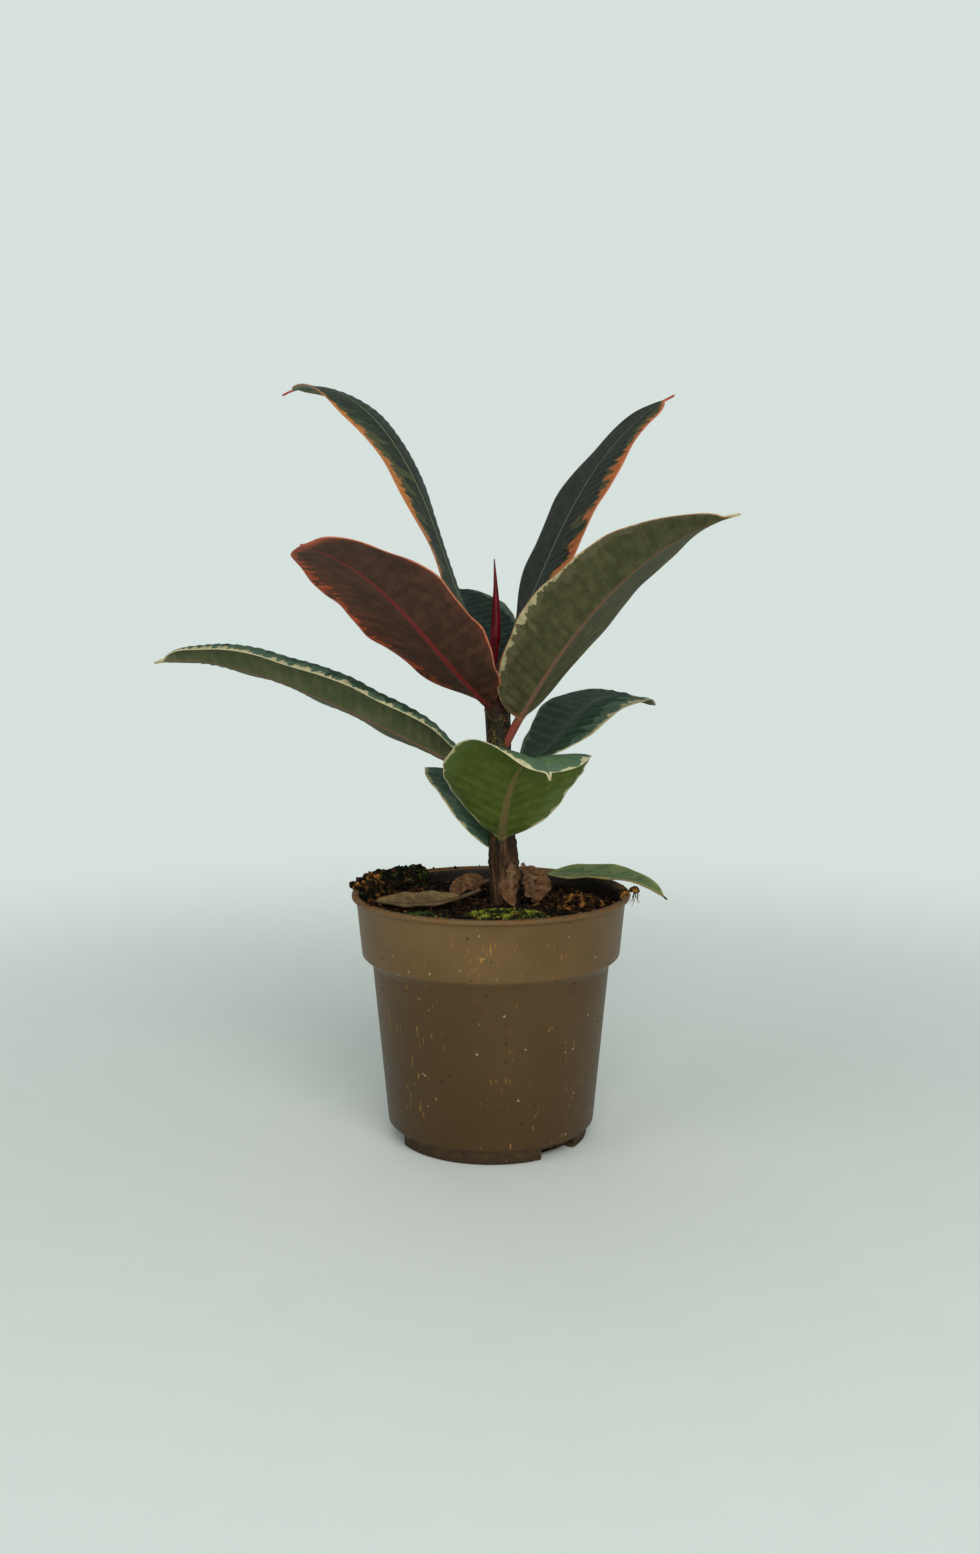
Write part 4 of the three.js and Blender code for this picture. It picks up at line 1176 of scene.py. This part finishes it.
# %% A tree's nodes and inputs
HALF_TURN = 3.14
SCATTER_INPUTS = [
    ("Ground", "NodeSocketGeometry", None),
    ("Density", "NodeSocketFloat", 1e5),
    ("Smallest", "NodeSocketFloat", 0.0005),
    ("Largest", "NodeSocketFloat", 0.0015),
    ("Stretch", "NodeSocketFloat", 1.0),
    ("Spread", "NodeSocketFloat", HALF_TURN),
    ("Seed", "NodeSocketInt", 1),
    ("Finish", "NodeSocketMaterial", None),
]


def tree_node(tree, kind, links=None, **settings):
    """A node with its settings, and its inputs linked or set."""
    made = tree.nodes.new(kind)
    for key, value in settings.items():
        setattr(made, key, value)
    for key, value in (links or {}).items():
        if isinstance(value, bpy.types.NodeSocket):
            tree.links.new(value, made.inputs[key])
        else:
            made.inputs[key].default_value = value
    return made


print("scatter inputs:", [label for label, _, _ in SCATTER_INPUTS])

# %% A tree that scatters crumbs
CRUMB_SUBDIVISIONS = 1
DENT_SCALE, DENT_DEPTH = 1.4, 1.5
NARROW_CRUMB, WIDE_CRUMB = (0.6, 0.6, 0.5), (1.3, 1.3, 1.0)


def scatter_tree(name):
    """Scatter crumbs over a ground mesh. Every size is a named input of the modifier."""
    tree = bpy.data.node_groups.new(name, "GeometryNodeTree")
    for label, kind, default in SCATTER_INPUTS:
        socket = tree.interface.new_socket(label, in_out="INPUT", socket_type=kind)
        if default is not None:
            socket.default_value = default
    tree.interface.new_socket("Geometry", in_out="OUTPUT", socket_type="NodeSocketGeometry")

    def node(kind, links=None, **settings):
        return tree_node(tree, kind, links, **settings)

    def vector_math(operation, links):
        return node("ShaderNodeVectorMath", links, operation=operation).outputs[0]

    given = node("NodeGroupInput").outputs
    seed = given["Seed"]
    crumb = node("GeometryNodeMeshIcoSphere", {"Radius": 1.0, "Subdivisions": CRUMB_SUBDIVISIONS})
    place = node("GeometryNodeInputPosition").outputs[0]
    dent = node("ShaderNodeTexNoise", {"Vector": place, "Scale": DENT_SCALE, "Detail": 1.0})
    centred = vector_math("SUBTRACT", {0: dent.outputs["Color"], 1: (0.5, 0.5, 0.5)})
    pushed = vector_math("SCALE", {0: centred, "Scale": DENT_DEPTH})
    dented = node("GeometryNodeSetPosition", {"Geometry": crumb.outputs[0], "Offset": pushed})
    points = node(
        "GeometryNodeDistributePointsOnFaces",
        {"Mesh": given["Ground"], "Density": given["Density"], "Seed": seed},
    )
    size = node("FunctionNodeRandomValue", {2: given["Smallest"], 3: given["Largest"], "Seed": seed})
    shape = node(
        "FunctionNodeRandomValue", {0: NARROW_CRUMB, 1: WIDE_CRUMB, "Seed": seed},
        data_type="FLOAT_VECTOR",
    )
    tall = node("ShaderNodeCombineXYZ", {0: 1.0, 1: 1.0, 2: given["Stretch"]})
    shaped = vector_math("MULTIPLY", {0: shape.outputs[0], 1: tall.outputs[0]})
    sized = vector_math("SCALE", {0: shaped, "Scale": size.outputs[1]})
    swing = node("ShaderNodeMath", {0: given["Spread"], 1: -1.0}, operation="MULTIPLY").outputs[0]
    least = node("ShaderNodeCombineXYZ", {0: swing, 1: swing, 2: -HALF_TURN})
    most = node("ShaderNodeCombineXYZ", {0: given["Spread"], 1: given["Spread"], 2: HALF_TURN})
    turned = node(
        "FunctionNodeRandomValue", {0: least.outputs[0], 1: most.outputs[0], "Seed": seed},
        data_type="FLOAT_VECTOR",
    )
    placed = node(
        "GeometryNodeInstanceOnPoints",
        {"Points": points.outputs[0], "Instance": dented.outputs[0], "Rotation": turned.outputs[0],
         "Scale": sized},
    )
    real = node("GeometryNodeRealizeInstances", {"Geometry": placed.outputs[0]})
    coloured = node(
        "GeometryNodeSetMaterial", {"Geometry": real.outputs[0], "Material": given["Finish"]}
    )
    node("NodeGroupOutput", {"Geometry": coloured.outputs[0]})
    return tree


crumbs_tree = scatter_tree("scatter_crumbs")
print("the tree has", len(crumbs_tree.nodes), "nodes")

# %% Scatter and make plain
def scattered(name, ground, **sizes):
    """The crumbs that the tree scatters over a ground mesh, as a plain mesh."""
    holder = bpy.data.objects.new(name, ground)
    bpy.context.scene.collection.objects.link(holder)
    modifier = holder.modifiers.new("scatter", "NODES")
    modifier.node_group = crumbs_tree
    items = crumbs_tree.interface.items_tree
    sockets = {item.name: item.identifier for item in items if item.in_out == "INPUT"}
    for label, value in sizes.items():
        modifier[sockets[label]] = value
    view = bpy.context.evaluated_depsgraph_get()
    mesh = bpy.data.meshes.new_from_object(holder.evaluated_get(view))
    mesh.name = name
    bpy.data.objects.remove(holder)
    return mesh


print("scattered() gives a plain mesh with the tree's", len(SCATTER_INPUTS), "inputs")

# %% [markdown]
# ## Loose crumbs, moss and the heap on the rim
# Each ground is a thin patch that is thrown away once the crumbs lie on it. Fine peat covers everything,
# bark bits are few and larger, and moss is a carpet of tiny upright shoots in two greens.

# %% Grounds for the crumbs
STEM_ROOM, WALL_ROOM = 0.6, 1.2


def patch_ground(name, centre, reach, top, turn=0.0, rings=10, sides=30, ragged=0.0):
    """An open dome of small quads over an oval with bays in its edge, for scattering on."""
    share = np.linspace(1, 0.02, rings)[:, None]
    angle = np.linspace(0, 2 * np.pi, sides, endpoint=False)[None, :]
    bays = 0.6 * np.sin(3 * angle + centre[0]) + 0.4 * np.sin(7 * angle + centre[1]) + 1
    share = share * (1 - ragged * bays)
    x, y, z = share * reach[0] * np.cos(angle), share * reach[1] * np.sin(angle), top * (1 - share**2)
    cos, sin = math.cos(math.radians(turn)), math.sin(math.radians(turn))
    places = np.stack([centre[0] + cos * x - sin * y, centre[1] + sin * x + cos * y, centre[2] + z], -1)
    numbers = np.arange(rings * sides).reshape(rings, sides)
    here, there = numbers[:-1], numbers[1:]
    quads = np.stack([here, np.roll(here, -1, 1), np.roll(there, -1, 1), there], -1).reshape(-1, 4)
    mesh = bpy.data.meshes.new(name)
    mesh.from_pydata((places.reshape(-1, 3) * MM).tolist(), [], quads.tolist())
    return mesh


def without_stem(mesh):
    """The ground with the faces at the stem's foot and outside the pot left out."""
    shape = bmesh.new()
    shape.from_mesh(mesh)
    hidden = []
    for face in shape.faces:
        middle = face.calc_center_median() / MM
        near_stem = math.hypot(middle.x - STEM_FOOT_X, middle.y) < STEM_RADIUS + STEM_ROOM
        outside = math.hypot(middle.x, middle.y) > soil_edge - WALL_ROOM
        if near_stem or outside:
            hidden.append(face)
    bmesh.ops.delete(shape, geom=hidden, context="FACES")
    shape.to_mesh(mesh)
    shape.free()
    return mesh


soil_ground = patch_ground(
    "soil_top", (0, 0, SOIL_Z + 0.3), (soil_edge, soil_edge), 0.6, rings=26, sides=60
)
soil_top = without_stem(soil_ground)
print("ground of", len(soil_top.polygons), "quads round the stem")

# %% Peat and bark on the soil
crumbs = scattered("peat_crumbs", soil_top, Density=420000.0, Smallest=0.0004, Largest=0.0014,
                   Stretch=0.9, Seed=3, Finish=peat_finish)
finish_piece("peat_crumbs", crumbs, peat_finish, "potting_soil")
chips = scattered("bark_chips", soil_top, Density=26000.0, Smallest=0.0007, Largest=0.0022,
                  Stretch=0.55, Seed=8, Finish=bark_bits_finish)
finish_piece("bark_chips", chips, bark_bits_finish, "potting_soil")

# %% Moss finishes
def moss_finish(name, low, high):
    """A velvety finish with dark gaps between clumps."""
    moss = Finish(name)
    spot = moss.place()
    clumps = moss.noise(spot, 180.0, 3.0)
    fine = moss.noise(spot, 1400.0, 2.0)
    colour = moss.mix(moss.rise(clumps + (fine - 0.5) * 0.5, 0.46, 0.66), low, high)
    return moss.set(
        Base_Color=colour,
        Roughness=0.75 + 0.15 * fine,
        Normal=moss.bump(fine, 0.0003, 0.6),
        Specular_IOR_Level=0.15,
    )


bright_moss = moss_finish("bright_moss", (0.012, 0.017, 0.003), (0.30, 0.32, 0.035))
dark_moss = moss_finish("dark_moss", (0.003, 0.007, 0.002), (0.055, 0.100, 0.014))
print("moss finishes:", bright_moss.name, "and", dark_moss.name)

# %% Cushions of moss and the clump of bark
SHOOT_HEIGHT = 0.9  # how far the shoots stand above their ground
RAGGED_EDGE = 0.15


def cushion(name, node, at, reach, height, turn, material, slot, seed, **sizes):
    """A dome of shoots or crumbs. Its place is in rim radii, its reach and height in millimetres."""
    centre = (at[0] * RIM_RADIUS, at[1] * RIM_RADIUS, SOIL_Z + 0.2)
    dome = patch_ground(name, centre, reach, height - SHOOT_HEIGHT, turn, ragged=RAGGED_EDGE)
    carpet = scattered(name, without_stem(dome), Seed=seed, Finish=material, **sizes)
    finish_piece(name, carpet, material, slot, node)


cushion("front_moss", "moss_front", (0.1, -0.4), (20, 10.5), 3.2, 0, bright_moss, "moss", 21,
        Density=2600000.0, Smallest=0.0002, Largest=0.00055, Stretch=2.6, Spread=0.7)
cushion("front_left_moss", "moss_front_left", (-0.45, -0.45), (14.5, 7.5), 2.6, -30, dark_moss, "moss", 22,
        Density=2600000.0, Smallest=0.0002, Largest=0.0005, Stretch=2.4, Spread=0.8)
cushion("right_bark_clump", "crumb_clump_right", (0.63, -0.08), (12, 9), 6, 25, bark_bits_finish,
        "bark_crumbs", 23, Density=1000000.0, Smallest=0.0005, Largest=0.0015, Stretch=0.7, Spread=3.1)

# %% [markdown]
# Moss also creeps along the wall at the front, thinner than a cushion and broken by bare peat. A few crumbs
# lie on the lip, where soil was spilled.

# %% Bands along the wall and the lip
def ring_ground(name, radii, angles, height, keep, seed):
    """An open band of small quads round the Z axis, some of them left out at random."""
    rows, columns = np.linspace(*radii, 7), np.radians(np.linspace(*angles, 70))
    radius, angle = np.meshgrid(rows, columns, indexing="ij")
    places = np.stack([radius * np.cos(angle), radius * np.sin(angle), height + 0 * angle], -1)
    numbers = np.arange(radius.size).reshape(radius.shape)
    corners = [numbers[:-1, :-1], numbers[1:, :-1], numbers[1:, 1:], numbers[:-1, 1:]]
    quads = np.stack(corners, -1).reshape(-1, 4)
    order = np.arange(len(quads))
    patches = wander(seed, 0.23 * order % 69, 0.4 * (order // 69))
    quads = quads[patches < 2 * keep - 1]
    mesh = bpy.data.meshes.new(name)
    mesh.from_pydata((places.reshape(-1, 3) * MM).tolist(), [], quads.tolist())
    return mesh


creeping = ring_ground("creeping", (soil_edge - 9, soil_edge - 0.8), (-150, -35), SOIL_Z + 1.0, 0.75, 4)
lip_ground = ring_ground("lip_ground", (COLLAR_TOP - 1, RIM_RADIUS - 0.8), (0, 358), RIM_Z - 0.1, 0.6, 5)
print("bands of", len(creeping.polygons), "and", len(lip_ground.polygons), "quads")

# %% Creeping moss and crumbs on the lip
CREEPING = [
    ("creeping_dark_moss", dark_moss, 51, 1500000.0),
    ("creeping_bright_moss", bright_moss, 52, 300000.0),
]
for moss_name, moss_skin, moss_seed, density in CREEPING:
    carpet = scattered(moss_name, creeping, Density=density, Smallest=0.0003, Largest=0.0008,
                       Stretch=1.6, Spread=1.2, Seed=moss_seed, Finish=moss_skin)
    finish_piece(moss_name, carpet, moss_skin, "moss")
lip_bits = scattered("lip_crumbs", lip_ground, Density=130000.0, Smallest=0.0003,
                     Largest=0.0010, Stretch=0.6, Seed=53, Finish=bark_bits_finish)
finish_piece("lip_crumbs", lip_bits, bark_bits_finish, "bark_crumbs")

# %% [markdown]
# The heap bridges the soil and the rim, so its core is a bent sausage that is flat where it meets the soil
# and the lip. Peat, moss and, at one end, bark are scattered over skins a little above the core.

# %% The heap on the rim
HEAP_FROM, HEAP_TO = 122, 178
HEAP_MIDDLE = RIM_RADIUS - 4
HEAP_HALF_WIDTH = 7.5
HEAP_TOP = 4.8
HEAP_RINGS, HEAP_SIDES = 60, 48


def heap_rings(inset, start=0.0, end=1.0):
    """A bent sausage of soil along the rim, its size less the inset."""
    share = np.linspace(start, end, HEAP_RINGS)
    around = np.linspace(0, 2 * np.pi, HEAP_SIDES, endpoint=False)
    share_grid, around_grid = np.meshgrid(share, around, indexing="ij")
    angle = np.radians(HEAP_FROM + (HEAP_TO - HEAP_FROM) * share_grid)
    taper = np.sqrt(np.clip(1 - (2 * share_grid - 1) ** 6, 0, 1))
    bumpy = 0.86 + 0.26 * wander(9, 5 * around_grid, 30 * share_grid, 9 * around_grid + 22 * share_grid)
    radius = (HEAP_HALF_WIDTH * bumpy - inset) * (0.25 + 0.75 * taper)
    from_axis = HEAP_MIDDLE + radius * np.cos(around_grid)
    height = RIM_Z + HEAP_TOP - HEAP_HALF_WIDTH + radius * np.sin(around_grid)
    low_inside = (from_axis < RIM_RADIUS - LIP) & (height < SOIL_Z)
    height = np.where(low_inside, SOIL_Z - 0.2, height)
    over_wall = from_axis > RIM_RADIUS - LIP
    height = np.where(over_wall & (height < RIM_Z + 0.2), RIM_Z + 0.2, height)
    return np.stack([from_axis * np.cos(angle), from_axis * np.sin(angle), height], -1)


def heap_mesh(name, *rings):
    mesh = ring_mesh(name, heap_rings(*rings) * MM)
    face_outwards(mesh)
    return mesh


heap_core = heap_mesh("heap_core", 1.6)
finish_piece("rim_heap_core", heap_core, peat_finish, "moss", "rim_heap_left")

# %% What covers the heap
heap_skin = heap_mesh("heap_skin", 1.3)
heap_soil = scattered("rim_heap_crumbs", heap_skin, Density=650000.0, Smallest=0.0004,
                      Largest=0.0013, Stretch=0.9, Seed=31, Finish=peat_finish)
finish_piece("rim_heap_crumbs", heap_soil, peat_finish, "moss")
heap_green = scattered("rim_heap_moss", heap_skin, Density=900000.0, Smallest=0.0003,
                       Largest=0.0007, Stretch=1.8, Seed=32, Finish=dark_moss)
finish_piece("rim_heap_moss", heap_green, dark_moss, "moss")
heap_end = heap_mesh("heap_end", 1.2, 0.55, 0.98)
heap_bits = scattered("rim_heap_bark", heap_end, Density=330000.0, Smallest=0.0006,
                      Largest=0.0018, Stretch=0.8, Seed=33, Finish=bark_bits_finish)
finish_piece("rim_heap_bark", heap_bits, bark_bits_finish, "moss")

# %% [markdown]
# ## The crumb with a rootlet
# A clod of crumbs caught under the fallen leaf sits beside the lip, and fine rootlets hang from it. Each
# rootlet is a thin tube of level rings round a path that wanders, because a root is a round thread.

# %% Rootlets
ROOT_AT = np.array([RIM_RADIUS + 3.5, 9, RIM_Z - 1.2])
ROOT_LENGTH, ROOT_COUNT, ROOT_RADIUS = 9, 9, 0.28
ROOT_LEAN, ROOT_SWAY = 2.4, 0.35
ROOT_STEPS, ROOT_SIDES = 14, 7
share = np.linspace(0, 1, ROOT_STEPS)
turn = np.linspace(0, 2 * np.pi, ROOT_SIDES, endpoint=False)
girth = (ROOT_RADIUS * (1 - 0.75 * share))[:, None]
strands = []
random = np.random.default_rng(6)
for strand in range(ROOT_COUNT):
    lean = random.uniform(-ROOT_LEAN, ROOT_LEAN, 2)
    drop = ROOT_LENGTH * random.uniform(0.35, 0.95)
    x = lean[0] * share + ROOT_SWAY * np.sin(7 * share + strand)
    y = lean[1] * share + ROOT_SWAY * np.cos(6 * share + strand)
    path = ROOT_AT + np.stack([x, y, 0.4 - drop * share], -1)
    level = np.broadcast_to(path[:, 2:], (ROOT_STEPS, ROOT_SIDES))
    rings = np.stack([path[:, :1] + girth * np.cos(turn), path[:, 1:2] + girth * np.sin(turn), level], -1)
    strands.append(ring_mesh(f"strand_{strand}", rings * MM))
print(len(strands), "rootlets")

# %% Clods of crumbs, and all of it in one piece
def joined(name, meshes):
    """Several meshes in one."""
    shape = bmesh.new()
    for mesh in meshes:
        shape.from_mesh(mesh)
    bmesh.ops.recalc_face_normals(shape, faces=shape.faces)
    whole = bpy.data.meshes.new(name)
    shape.to_mesh(whole)
    shape.free()
    return whole


def crumb_clod(centre, reach, height, seed):
    """A small dome of crumbs."""
    ground = patch_ground("clod_ground", centre, reach, height, rings=6, sides=12)
    return scattered("clod", ground, Density=5000000.0, Smallest=0.0004, Largest=0.0011,
                     Stretch=0.9, Seed=seed, Finish=bark_bits_finish)


clod = crumb_clod(ROOT_AT + [-0.6, 0, -0.8], (1.8, 1.5), 1.7, 41)
lip_fluff = crumb_clod(np.array([RIM_RADIUS - 2.6, -5, RIM_Z - 0.6]), (1.8, 5.5), 1.4, 42)
rootlets = joined("rootlets", [*strands, clod, lip_fluff])
finish_piece("rootlets", rootlets, bark_bits_finish, "rootlet", "rootlet_crumb")

# %% Finish
visual_low, visual_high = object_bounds()
past = [round((visual - cad) / MM, 1) for cad, visual in zip(cad_high, visual_high)]
print("the visual model's top corner is past the packed one's by", past, "mm")
